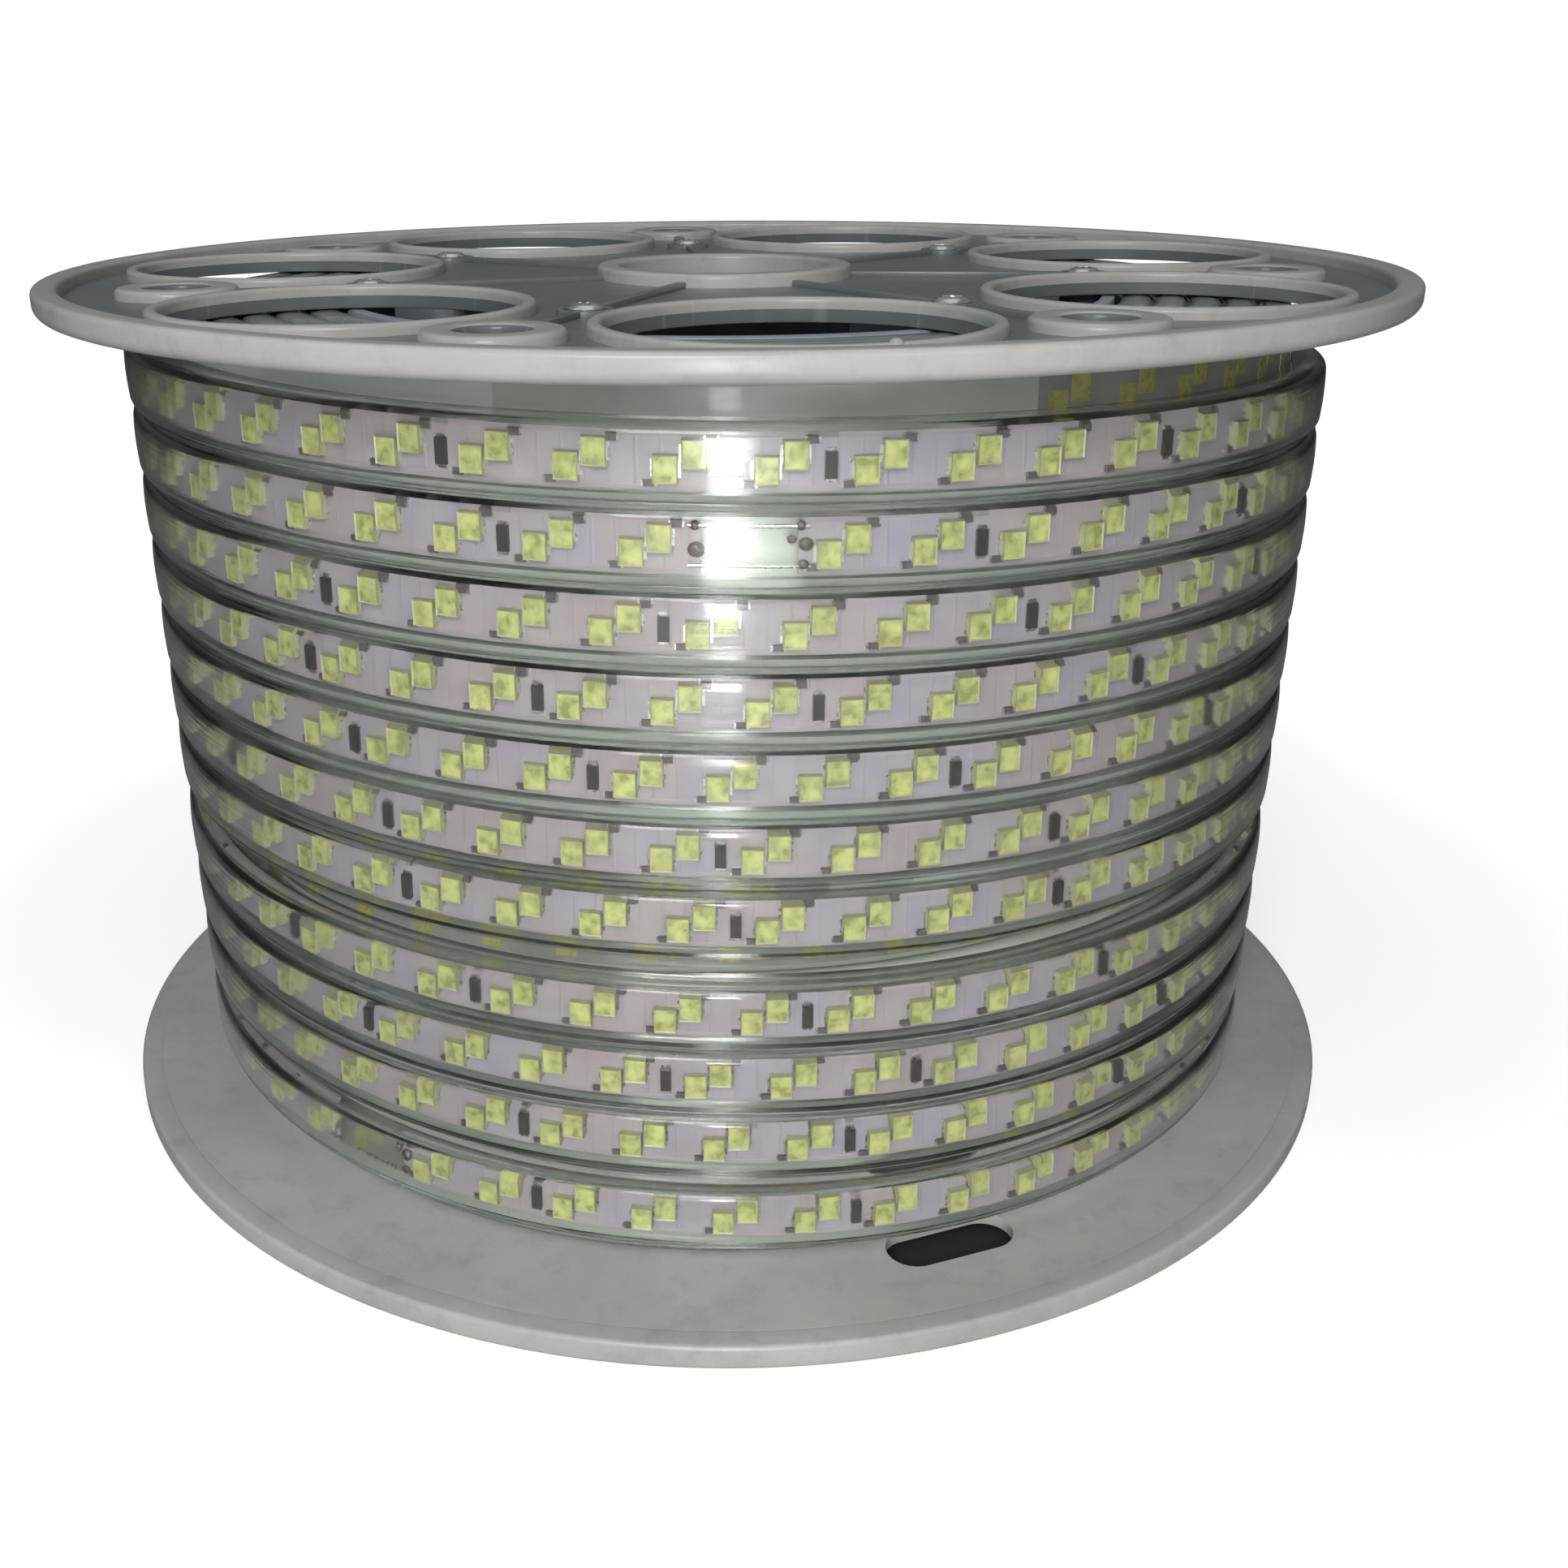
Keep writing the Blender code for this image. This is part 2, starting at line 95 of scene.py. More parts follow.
def newMaterial(name, sockets):
    material = bpy.data.materials.new(name)
    material.use_nodes = True
    tree = material.node_tree
    shader = tree.nodes["Principled BSDF"]
    for socketName, value in sockets.items():
        shader.inputs[socketName].default_value = value
    return material, tree, shader


def linkFinish(tree, shader, colour, roughness):
    tree.links.new(colour, shader.inputs["Base Color"])
    tree.links.new(roughness, shader.inputs["Roughness"])


def bumpFrom(tree, shader, height, strength, distance):
    bump = place(tree, "ShaderNodeBump", None,
                 {"Height": height, "Strength": strength, "Distance": distance})
    tree.links.new(bump.outputs[0], shader.inputs["Normal"])


# Each item once, in the order given.
def once(items):
    return list(dict.fromkeys(items))


def faceOutwards(bm):
    bm.normal_update()
    bmesh.ops.recalc_face_normals(bm, faces=bm.faces)


# Adds a part that was shaped by itself, which is quicker than shaping it in a large mesh.
def addPart(bm, part, material=None):
    if material is not None:
        for face in part.faces:
            face.material_index = material
    mesh = bpy.data.meshes.new("part")
    part.to_mesh(mesh)
    part.free()
    bm.from_mesh(mesh)
    bpy.data.meshes.remove(mesh)


# Makes a bmesh into a piece that rides on the reel. Hollow is the shape of a closed cavity.
def addPiece(name, bm, materials, sharp=35, hollow=None):
    faceOutwards(bm)
    if hollow:
        faceOutwards(hollow)
        bmesh.ops.reverse_faces(hollow, faces=hollow.faces)
        addPart(bm, hollow)
    mesh = bpy.data.meshes.new(name)
    bm.to_mesh(mesh)
    bm.free()
    for material in materials:
        mesh.materials.append(material)
    mesh.shade_smooth()
    mesh.set_sharp_from_angle(angle=math.radians(sharp))
    piece = bpy.data.objects.new(name, mesh)
    bpy.context.scene.collection.objects.link(piece)
    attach(piece, "root")
    return piece


def around(radius, angle, z=0.0):
    return Vector((radius * math.sin(angle), -radius * math.cos(angle), z))


# Outline (radius, z) of a ring with rounded corners.
def roundedOutline(inner, outer, low, high, lowRound, highRound, arcSteps=3, outerLowRound=None):
    outline = []
    for radius, z, size, toRight, upwards, start in (
            (inner, low, lowRound, 1, 1, 180), (outer, low, outerLowRound or lowRound, -1, 1, 270),
            (outer, high, highRound, -1, -1, 0), (inner, high, highRound, 1, -1, 90)):
        if size == 0:
            outline.append((radius, z))
            continue
        for step in range(arcSteps + 1):
            angle = math.radians(start + 90 * step / arcSteps)
            outline.append((radius + toRight * size + size * math.cos(angle),
                            z + upwards * size + size * math.sin(angle)))
    return outline


# Turns a (radius, z) outline round an upright axis. A ring's inner wall can take the painted shade,
# the web's darker plastic, low down.
def spinRing(bm, outline, steps, centre=(0.0, 0.0), closed=True, material=0, paintedShadeUnder=None):
    part = bmesh.new()
    verts = [part.verts.new((centre[0] + radius, centre[1], z)) for radius, z in outline]
    pairs = zip(verts, verts[1:] + verts[:1]) if closed else zip(verts, verts[1:])
    edges = [part.edges.new(pair) for pair in pairs]
    bmesh.ops.spin(part, geom=verts + edges, cent=(centre[0], centre[1], 0.0), axis=(0, 0, 1),
                   angle=2 * math.pi, steps=steps, use_merge=True)
    for face in part.faces:
        face.material_index = material
        if paintedShadeUnder is not None:
            radius, height = paintedShadeUnder
            middle = face.calc_center_median()
            inside = math.hypot(middle.x - centre[0], middle.y - centre[1]) < radius
            face.material_index = 1 if inside and middle.z < height else material
    addPart(bm, part)


# A block with rounded edges, turned about Z round the reel's axis.
def addBlock(bm, centre, size, turn=0.0, rounding=0.0, material=0):
    part = bmesh.new()
    matrix = (Matrix.Rotation(turn, 4, "Z") @ Matrix.Translation(centre)
              @ Matrix.Diagonal((*size, 1.0)))
    bmesh.ops.create_cube(part, size=1.0, matrix=matrix)
    if rounding:
        bmesh.ops.bevel(part, geom=part.edges[:], offset=rounding, offset_type="OFFSET",
                        segments=2, profile=0.5, affect="EDGES", material=-1)
    addPart(bm, part, material)


# Camera, light and floor

# The focal length is in the photo's pixels, and the frame takes in a little more than the photo
view = {"place": (0.0, -0.40988, 0.22284), "yaw": -0.0128, "pitch": 0.3790, "roll": -0.0063,
        "focalPixels": 2457.62, "framePixels": 1932, "widened": 0.86, "shift": 0.0507,
        "sensor": 36.0, "nearest": 0.01}


def buildCamera():
    yaw, pitch, roll = view["yaw"], view["pitch"], view["roll"]
    forward = Vector((math.sin(yaw) * math.cos(pitch), math.cos(yaw) * math.cos(pitch),
                      -math.sin(pitch)))
    right = Vector((math.cos(yaw), -math.sin(yaw), 0.0))
    up = right.cross(forward)
    tilted = right * math.cos(roll) + up * math.sin(roll)
    upright = up * math.cos(roll) - right * math.sin(roll)
    data = bpy.data.cameras.new("photoCamera")
    data.sensor_width = view["sensor"]
    data.lens = view["focalPixels"] * view["widened"] / view["framePixels"] * view["sensor"]
    data.shift_x = view["shift"]
    data.clip_start = view["nearest"]
    camera = bpy.data.objects.new("photoCamera", data)
    turned = Matrix((tilted, upright, -forward)).transposed().to_4x4()
    camera.matrix_world = Matrix.Translation(view["place"]) @ turned
    bpy.context.scene.collection.objects.link(camera)
    bpy.context.scene.camera = camera


# The room is dark behind the reel where it is mirrored, and paler from there to the front
studio = {"world": 0.04, "mirroredBehind": 0.035, "mirroredAhead": 0.24, "range": (-0.1, 0.6),
          "lamps": (  # name, place, aimed at, width, height, watts, colour
              ("frontSoftbox", (-0.12, -1.00, 0.66), (0.0, 0.0, 0.09), 0.42, 0.42, 5.7, (1, 1, 1)),
              ("frontStrip", (0.0, -0.80, 0.11), (0.0, 0.0, 0.11), 0.07, 0.20, 1.5, (1, 1, 1)),
              ("topSoftbox", (0.0, 0.1, 1.5), (0.0, 0.0, 0.0), 1.0, 1.0, 2.2, (1, 1, 1)),
              ("leftSoftbox", (-0.8, 0.0, 1.1), (0.0, 0.0, 0.1), 0.6, 0.6, 0.8, (0.55, 0.76, 1)),
              ("rightSoftbox", (0.60, -0.85, 0.55), (0.0, 0.0, 0.1), 0.4, 0.4, 0.6, (1, 0.97, 0.88)))}


def buildStudio():
    for name, spot, target, width, height, watts, colour in studio["lamps"]:
        data = bpy.data.lights.new(name, "AREA")
        data.shape = "RECTANGLE"
        data.size = width
        data.size_y = height
        data.energy = watts
        data.color = colour
        lamp = bpy.data.objects.new(name, data)
        aim = (Vector(target) - Vector(spot)).to_track_quat("-Z", "Y")
        lamp.matrix_world = Matrix.Translation(spot) @ aim.to_matrix().to_4x4()
        lamp.visible_camera = False
        bpy.context.scene.collection.objects.link(lamp)
    world = bpy.data.worlds.new("paleRoom")
    world.use_nodes = True
    tree = world.node_tree
    seen = place(tree, "ShaderNodeLightPath")
    mirrored = maths(tree, "MAXIMUM", seen.outputs["Is Glossy Ray"],
                     seen.outputs["Is Transmission Ray"])
    way = place(tree, "ShaderNodeSeparateXYZ", None,
                {0: place(tree, "ShaderNodeTexCoord").outputs["Generated"]})
    ahead = maths(tree, "MAXIMUM", maths(tree, "MULTIPLY", way.outputs[1], -1.0), way.outputs[2])
    shown = ramp(tree, ahead, *studio["range"], studio["mirroredBehind"], studio["mirroredAhead"])
    strength = place(tree, "ShaderNodeMix", None,
                     {0: mirrored, 2: studio["world"], 3: shown}).outputs[0]
    strength = maths(tree, "MAXIMUM", strength, seen.outputs["Is Camera Ray"])
    sky = tree.nodes["Background"]
    sky.inputs["Color"].default_value = (1.0, 1.0, 1.0, 1.0)
    tree.links.new(strength, sky.inputs["Strength"])
    bpy.context.scene.world = world
    bpy.context.scene.view_settings.view_transform = "Standard"


# The camera sees a pale floor that glows further out. Other rays meet a darker paint. Under the reel
# the floor has a painted shadow: near-black paint and no glow.
ground = {"radius": 4.0, "paint": 0.90, "bounce": 0.38, "paintedShadowUnderReel": 0.05, "reelEdge": 0.149,
          "glowStart": 0.15, "glowFull": 0.50, "glowLeast": 0.60}


def grey(value):
    return (value, value, value, 1)


def buildFloor():
    bm = bmesh.new()
    bmesh.ops.create_circle(bm, cap_ends=True, segments=96, radius=ground["radius"])
    mesh = bpy.data.meshes.new("paleFloor")
    bm.to_mesh(mesh)
    bm.free()
    material, tree, shader = newMaterial("floorPaint", {
        "Roughness": 0.9, "Specular IOR Level": 0.1, "Emission Color": (1.0, 1.0, 1.0, 1.0)})
    seen = place(tree, "ShaderNodeLightPath")
    coords = place(tree, "ShaderNodeTexCoord")
    distance = place(tree, "ShaderNodeVectorMath", {"operation": "LENGTH"},
                     {0: coords.outputs["Object"]}).outputs["Value"]
    clear = maths(tree, "GREATER_THAN", distance, ground["reelEdge"])
    glow = ramp(tree, distance, ground["glowStart"], ground["glowFull"], ground["glowLeast"], 1.0)
    glow = maths(tree, "MULTIPLY", maths(tree, "MULTIPLY", glow, clear), seen.outputs["Is Camera Ray"])
    tree.links.new(glow, shader.inputs["Emission Strength"])
    paint = mixColour(tree, seen.outputs["Is Camera Ray"], grey(ground["bounce"]),
                      grey(ground["paint"]))
    # Painted shadow: near-black paint inside the reel's edge.
    tree.links.new(mixColour(tree, clear, grey(ground["paintedShadowUnderReel"]), paint),
                   shader.inputs["Base Color"])
    mesh.materials.append(material)
    floor = bpy.data.objects.new("paleFloor", mesh)
    bpy.context.scene.collection.objects.link(floor)


# Finishes

# Moulded plastic: cloudy colour, dust, fine scuffs and a fine grain.
def buildMouldGroup():
    group, given, made = newGroup("mouldedFinish", (
        ("Vector", "NodeSocketVector", None), ("Colour", "NodeSocketColor", (0.6, 0.6, 0.6, 1)),
        ("Dirt Colour", "NodeSocketColor", (0.3, 0.3, 0.28, 1)),
        ("Dirt", "NodeSocketFloat", 0.3), ("Scuffs", "NodeSocketFloat", 0.4),
        ("Roughness", "NodeSocketFloat", 0.4)),
        (("Colour", "NodeSocketColor"), ("Roughness", "NodeSocketFloat"),
         ("Height", "NodeSocketFloat")))
    vector = given.outputs["Vector"]
    cloud = noise(group, vector, 26.0, 5.0, 0.6)
    grime = noise(group, vector, 140.0, 6.0, 0.7)
    grain = noise(group, vector, 2600.0, 2.0)
    scratchSum = None
    for turn, seed in ((0.35, 0.0), (1.25, 3.0), (2.3, 7.0)):
        lie = place(group, "ShaderNodeMapping", None,
                    {"Vector": vector, "Location": (seed, seed, 0.0), "Rotation": (0.0, 0.0, turn),
                     "Scale": (9.0, 620.0, 9.0)})
        line = ramp(group, noise(group, lie.outputs[0], 1.0, 2.0), 0.69, 0.76)
        scratchSum = line if scratchSum is None else maths(group, "MAXIMUM", scratchSum, line)
    scratch = maths(group, "MULTIPLY", scratchSum, given.outputs["Scuffs"])
    shade = ramp(group, cloud, 0.25, 0.75, 0.90, 1.07)
    tinted = place(group, "ShaderNodeVectorMath", {"operation": "SCALE"},
                   {0: given.outputs["Colour"], "Scale": shade}).outputs[0]
    dusty = maths(group, "MULTIPLY", ramp(group, grime, 0.48, 0.72), given.outputs["Dirt"])
    soiled = mixColour(group, dusty, tinted, given.outputs["Dirt Colour"])
    pale = mixColour(group, maths(group, "MULTIPLY", scratch, 0.35), soiled, (0.85, 0.85, 0.83, 1))
    rough = maths(group, "ADD", given.outputs["Roughness"],
                  maths(group, "MULTIPLY", maths(group, "ADD", dusty, scratch), 0.30))
    height = maths(group, "SUBTRACT", maths(group, "MULTIPLY", grain, 0.12), scratch)
    group.links.new(pale, made.inputs["Colour"])
    group.links.new(rough, made.inputs["Roughness"])
    group.links.new(height, made.inputs["Height"])
    return group


# Soft vinyl: slow cloudiness, faint drawn lines and handling haze.
def buildVinylGroup():
    group, given, made = newGroup("vinylFinish", (
        ("Vector", "NodeSocketVector", None), ("Colour", "NodeSocketColor", (0.6, 0.6, 0.6, 1)),
        ("Haze Colour", "NodeSocketColor", (0.7, 0.7, 0.7, 1)),
        ("Haze", "NodeSocketFloat", 0.3), ("Roughness", "NodeSocketFloat", 0.1)),
        (("Colour", "NodeSocketColor"), ("Roughness", "NodeSocketFloat"),
         ("Height", "NodeSocketFloat")))
    vector = given.outputs["Vector"]
    slow = noise(group, vector, 38.0, 4.0, 0.6)
    drawn = place(group, "ShaderNodeMapping", None,
                  {"Vector": vector, "Scale": (30.0, 30.0, 900.0)})
    lines = noise(group, drawn.outputs[0], 1.0, 3.0)
    haze = maths(group, "MULTIPLY", ramp(group, slow, 0.35, 0.75), given.outputs["Haze"])
    colour = mixColour(group, haze, given.outputs["Colour"], given.outputs["Haze Colour"])
    rough = maths(group, "ADD", given.outputs["Roughness"], maths(group, "MULTIPLY", haze, 0.25))
    height = maths(group, "ADD", maths(group, "MULTIPLY", lines, 0.5), slow)
    group.links.new(colour, made.inputs["Colour"])
    group.links.new(rough, made.inputs["Roughness"])
    group.links.new(height, made.inputs["Height"])
    return group


mouldGroup = buildMouldGroup()
vinylGroup = buildVinylGroup()


def mouldedPlastic(name, colour, roughness, dirt, scuffs, dirtColour=(0.22, 0.23, 0.22, 1)):
    material, tree, shader = newMaterial(name, {"IOR": 1.49})
    coords = place(tree, "ShaderNodeTexCoord")
    finish = place(tree, "ShaderNodeGroup", {"node_tree": mouldGroup}, {
        "Vector": coords.outputs["Object"], "Colour": (*colour, 1), "Dirt Colour": dirtColour,
        "Dirt": dirt, "Scuffs": scuffs, "Roughness": roughness})
    linkFinish(tree, shader, finish.outputs["Colour"], finish.outputs["Roughness"])
    bumpFrom(tree, shader, finish.outputs["Height"], 0.35, 0.00012)
    return material


shadowShare = 0.22  # how much of its shadow the clear sleeve keeps, so that the lamps inside are lit


def clearVinyl():
    material, tree, shader = newMaterial("clearSleeveVinyl", {
        "IOR": 1.42, "Transmission Weight": 1.0, "Specular IOR Level": 0.5})
    coords = place(tree, "ShaderNodeTexCoord")
    finish = place(tree, "ShaderNodeGroup", {"node_tree": vinylGroup}, {
        "Vector": coords.outputs["Object"], "Colour": (0.955, 0.975, 0.945, 1),
        "Haze Colour": (0.90, 0.93, 0.90, 1), "Haze": 0.6, "Roughness": 0.07})
    linkFinish(tree, shader, finish.outputs["Colour"], finish.outputs["Roughness"])
    seen = place(tree, "ShaderNodeLightPath")
    tree.links.new(ramp(tree, seen.outputs["Is Shadow Ray"], 0.0, 1.0, 1.0, shadowShare),
                   shader.inputs["Alpha"])
    bumpFrom(tree, shader, finish.outputs["Height"], 0.25, 0.0004)
    return material


# Where the turns' edges show at the roll's ends, with painted shade in the joints between layers and
# near the top and foot faces. Places in a layer are shares of its thickness.
edgeBands = {"inner": 0.0891, "layer": 0.0075, "boardStart": (0.38, 0.44), "boardEnd": (0.62, 0.56),
             "jointStart": (0.08, 0.0), "jointEnd": (0.92, 1.0), "board": (0.66, 0.64, 0.67, 1),
             "paintedJointShade": (0.05, 0.055, 0.05, 1), "shade": (0.34, 0.38, 0.40, 1),
             "topShade": (0.1800, 0.1815), "footShade": (0.0082, 0.0067)}


# Vinyl of the turns beneath. Bands shows each layer's board through its edge, seen from above, with
# painted shade in the joints between layers and on the ends near the top and foot faces.
def layeredVinyl(name, colour, bands, coat, roughness):
    material, tree, shader = newMaterial(name, {"IOR": 1.45, "Coat Weight": coat,
                                                "Coat Roughness": 0.08})
    coords = place(tree, "ShaderNodeTexCoord")
    finish = place(tree, "ShaderNodeGroup", {"node_tree": vinylGroup}, {
        "Vector": coords.outputs["Object"], "Colour": (*colour, 1),
        "Haze Colour": tuple(channel * 0.72 for channel in colour) + (1,),
        "Haze": 0.7, "Roughness": roughness})
    shown = finish.outputs["Colour"]
    if bands:
        flat = place(tree, "ShaderNodeVectorMath", {"operation": "MULTIPLY"},
                     {0: coords.outputs["Object"], 1: (1.0, 1.0, 0.0)}).outputs[0]
        radius = place(tree, "ShaderNodeVectorMath", {"operation": "LENGTH"},
                       {0: flat}).outputs["Value"]
        depth = maths(tree, "SUBTRACT", radius, edgeBands["inner"])
        layer = maths(tree, "FRACT", maths(tree, "DIVIDE", depth, edgeBands["layer"]))
        strip = maths(tree, "MULTIPLY", ramp(tree, layer, *edgeBands["boardStart"]),
                      ramp(tree, layer, *edgeBands["boardEnd"]))
        shown = mixColour(tree, maths(tree, "MULTIPLY", strip, 0.75), shown, edgeBands["board"])
        # Painted shade: near-black lines in the joints between the layers.
        paintedJointShade = maths(tree, "MAXIMUM", ramp(tree, layer, *edgeBands["jointStart"]),
                      ramp(tree, layer, *edgeBands["jointEnd"]))
        shown = mixColour(tree, maths(tree, "MULTIPLY", paintedJointShade, 0.8), shown, edgeBands["paintedJointShade"])
        # Painted shade: the ends darken near the top and foot faces, beside the flanges.
        height = place(tree, "ShaderNodeSeparateXYZ", None, {0: coords.outputs["Object"]}).outputs[2]
        shaded = maths(tree, "MAXIMUM", ramp(tree, height, *edgeBands["topShade"]),
                       ramp(tree, height, *edgeBands["footShade"]))
        shown = mixColour(tree, maths(tree, "MULTIPLY", shaded, 0.85), shown,
                          mixColour(tree, 1.0, shown, edgeBands["shade"], "MULTIPLY"))
    linkFinish(tree, shader, shown, finish.outputs["Roughness"])
    bumpFrom(tree, shader, finish.outputs["Height"], 0.3, 0.0004)
    return material


# Places are metres up from the board's middle, or shares of a track's spacing along it
tracks = {"busInner": (0.00385, 0.0040), "busOuter": (0.0050, 0.00485), "spacing": 0.00417,
          "crossStart": (0.42, 0.46), "crossEnd": (0.58, 0.54), "crossReach": (0.0038, 0.0036)}
maskColours = {"warm": (0.295, 0.250, 0.265, 1), "cool": (0.285, 0.255, 0.315, 1),
               "cloudy": (0.34, 0.315, 0.32, 1), "bus": (0.26, 0.23, 0.24, 1),
               "cross": (0.26, 0.225, 0.235, 1)}


# White solder mask with its copper tracks showing faintly, from the board's own UV in metres.
def boardPrint():
    material, tree, shader = newMaterial("boardMask", {"IOR": 1.5})
    uv = place(tree, "ShaderNodeUVMap", {"uv_map": "alongRope"})
    parts = place(tree, "ShaderNodeSeparateXYZ", None, {0: uv.outputs[0]})
    up = maths(tree, "ABSOLUTE", parts.outputs[1])
    coords = place(tree, "ShaderNodeTexCoord")
    cloud = noise(tree, coords.outputs["Object"], 170.0, 4.0)
    patch = noise(tree, coords.outputs["Object"], 60.0, 2.0)
    base = mixColour(tree, ramp(tree, patch, 0.40, 0.60), maskColours["warm"], maskColours["cool"])
    base = mixColour(tree, ramp(tree, cloud, 0.30, 0.75, 0.0, 0.5), base, maskColours["cloudy"])
    bus = maths(tree, "MULTIPLY", ramp(tree, up, *tracks["busInner"]),
                ramp(tree, up, *tracks["busOuter"]))
    base = mixColour(tree, maths(tree, "MULTIPLY", bus, 0.45), base, maskColours["bus"])
    along = maths(tree, "FRACT", maths(tree, "DIVIDE", parts.outputs[0], tracks["spacing"]))
    cross = maths(tree, "MULTIPLY", ramp(tree, along, *tracks["crossStart"]),
                  ramp(tree, along, *tracks["crossEnd"]))
    cross = maths(tree, "MULTIPLY", cross, ramp(tree, up, *tracks["crossReach"]))
    base = mixColour(tree, maths(tree, "MULTIPLY", cross, 0.22), base, maskColours["cross"])
    linkFinish(tree, shader, base, ramp(tree, cloud, 0.3, 0.8, 0.32, 0.55))
    bumpFrom(tree, shader, maths(tree, "ADD", bus, cross), 0.5, 0.00006)
    return material


# A small part's finish: its colour and roughness vary a little from place to place.
def plainFinish(name, colour, roughness, metallic=0.0, spread=0.12, scale=900.0, coat=0.0):
    material, tree, shader = newMaterial(name, {"Metallic": metallic, "Coat Weight": coat})
    coords = place(tree, "ShaderNodeTexCoord")
    mottle = noise(tree, coords.outputs["Object"], scale, 3.0)
    darker = tuple(channel * (1 - spread) for channel in colour)
    lighter = tuple(min(channel * (1 + spread), 1.0) for channel in colour)
    linkFinish(tree, shader,
               mixColour(tree, ramp(tree, mottle, 0.3, 0.7), (*darker, 1), (*lighter, 1)),
               ramp(tree, mottle, 0.2, 0.8, roughness * 0.8, min(roughness * 1.25, 1.0)))
    bumpFrom(tree, shader, mottle, 0.2, 0.00004)
    return material


flangePlastic = mouldedPlastic("flangePlastic", (0.580, 0.570, 0.550), 0.30, 0.22, 0.35)
# Painted shade: the flange plastic darkened for the web, ribs, screw seats and the lower inner walls
# of the openings.
paintedShadePlastic = mouldedPlastic("paintedShadePlastic", (0.185, 0.205, 0.210), 0.30, 0.35, 0.30)
barrelPlastic = mouldedPlastic("barrelPlastic", (0.36, 0.41, 0.46), 0.45, 0.35, 0.15)
sleeveVinyl = clearVinyl()
layerVinyl = layeredVinyl("layerVinyl", (0.520, 0.555, 0.510), True, 0.35, 0.22)
# Painted shade: the second layer's vinyl is a darker copy of the turns' vinyl, for the shade under the
# flange and in the gaps.
secondVinylPaintedShade = layeredVinyl("secondVinylPaintedShade", (0.370, 0.400, 0.350), False, 0.12, 0.34)
boardMask = boardPrint()
lampBody = plainFinish("lampBody", (0.33, 0.33, 0.20), 0.35, spread=0.08)
lampPhosphor = plainFinish("lampPhosphor", (0.37, 0.38, 0.15), 0.30, spread=0.32, scale=420.0)
# Painted shade: the second layer's lamps and board are darker copies of the outer ones; the board's
# darkening partly stands for the vinyl in front of it.
lampBeneathPaintedShade = plainFinish("lampBeneathPaintedShade", (0.30, 0.295, 0.10), 0.30, coat=0.4)
boardBeneathPaintedShade = plainFinish("boardBeneathPaintedShade", (0.215, 0.22, 0.20), 0.35, scale=120.0, coat=0.4)
chipBlack = plainFinish("chipBlack", (0.085, 0.075, 0.078), 0.40)
barBlack = plainFinish("barBlack", (0.040, 0.032, 0.035), 0.35)
inkGrey = plainFinish("inkGrey", (0.20, 0.185, 0.19), 0.55)
solderTin = plainFinish("solderTin", (0.62, 0.62, 0.60), 0.28, metallic=1.0)
fluxedSolder = plainFinish("fluxedSolder", (0.10, 0.085, 0.075), 0.30, metallic=0.3, spread=0.4)
zincSteel = plainFinish("zincSteel", (0.58, 0.58, 0.59), 0.30, metallic=1.0)
plugVinyl = mouldedPlastic("plugVinyl", (0.46, 0.49, 0.44), 0.25, 0.25, 0.2)
print("finishes built")


# The reel

reel = {"flangeRadius": 0.150, "lowFace": 0.0054, "highFace": 0.1829, "depth": 0.0054,
        "web": 0.0026, "webInto": 0.0006, "bead": 0.0055, "beadRound": 0.0012,
        "beadUnderRound": 0.0024, "beadWebRound": 0.0008, "beadFaceRound": 0.0010, "bore": 0.024,
        "hub": 0.029, "hubRound": 0.0009, "collar": 0.016, "collarRound": 0.0005, "seatGap": 0.0003}
barrel = {"radius": 0.088, "wall": 0.003, "round": 0.0004, "columnCircle": 0.0812,
          "columnRadius": 0.005, "columnBore": 0.0018, "columnShort": 0.0002, "columnRound": 0.0003}
openings = {"count": 7, "first": math.radians(7.0), "circle": 0.10339, "outer": 0.03661,
            "rim": 0.0026, "rimDrop": 0.0006, "rimRound": 0.0009, "footRound": 0.0003,
            "eyeCircle": 0.1211, "eye": 0.0066, "eyeOuter": 0.0126, "eyeRound": 0.0011,
            "paintedShadeWall": 0.0004}
rib = {"wide": 0.0024, "drop": 0.0016, "into": 0.0004, "intoHub": 0.0005, "round": 0.0004}
screwSeat = {"inner": 0.0042, "outer": 0.0056, "into": 0.0004, "round": 0.0004, "hole": 0.0020}
# The small moulded point beside the front opening, placed from the opening's middle
mouldPoint = {"away": 0.0353, "angle": math.radians(24.0), "radius": 0.0015, "sunk": 0.0009}
slot = {"angle": math.radians(21.5), "circle": 0.1255, "length": 0.028, "width": 0.012}
fineness = {"rim": 196, "hub": 96, "opening": 96, "eye": 48, "barrel": 128, "column": 28,
            "seat": 32, "screw": 32, "hole": 16, "slot": 33, "turns": 160}


def patternAngles(offset=0.0):
    return [openings["first"] + (index + offset) * 2 * math.pi / openings["count"]
            for index in range(openings["count"])]


def addCircleLoop(bm, centre, radius, segments, z):
    made = bmesh.ops.create_circle(bm, cap_ends=False, segments=segments, radius=radius,
                                   matrix=Matrix.Translation((centre[0], centre[1], z)))
    return once(edge for vert in made["verts"] for edge in vert.link_edges)


# The web's round edges at the bead and at the hub.
def addWebEdges(bm, z):
    beadInner = reel["flangeRadius"] - reel["bead"]
    return (addCircleLoop(bm, (0, 0), beadInner + reel["webInto"], fineness["rim"], z)
            + addCircleLoop(bm, (0, 0), reel["hub"] - reel["webInto"], fineness["hub"], z))


# Fills the flat region between loops and raises it to a plate.
def fillPlate(plate, edges, height):
    filled = bmesh.ops.triangle_fill(plate, use_beauty=True, edges=edges)
    faces = [item for item in filled["geom"] if isinstance(item, bmesh.types.BMFace)]
    raised = bmesh.ops.extrude_face_region(plate, geom=faces)
    verts = [item for item in raised["geom"] if isinstance(item, bmesh.types.BMVert)]
    bmesh.ops.translate(plate, verts=verts, vec=(0.0, 0.0, height))


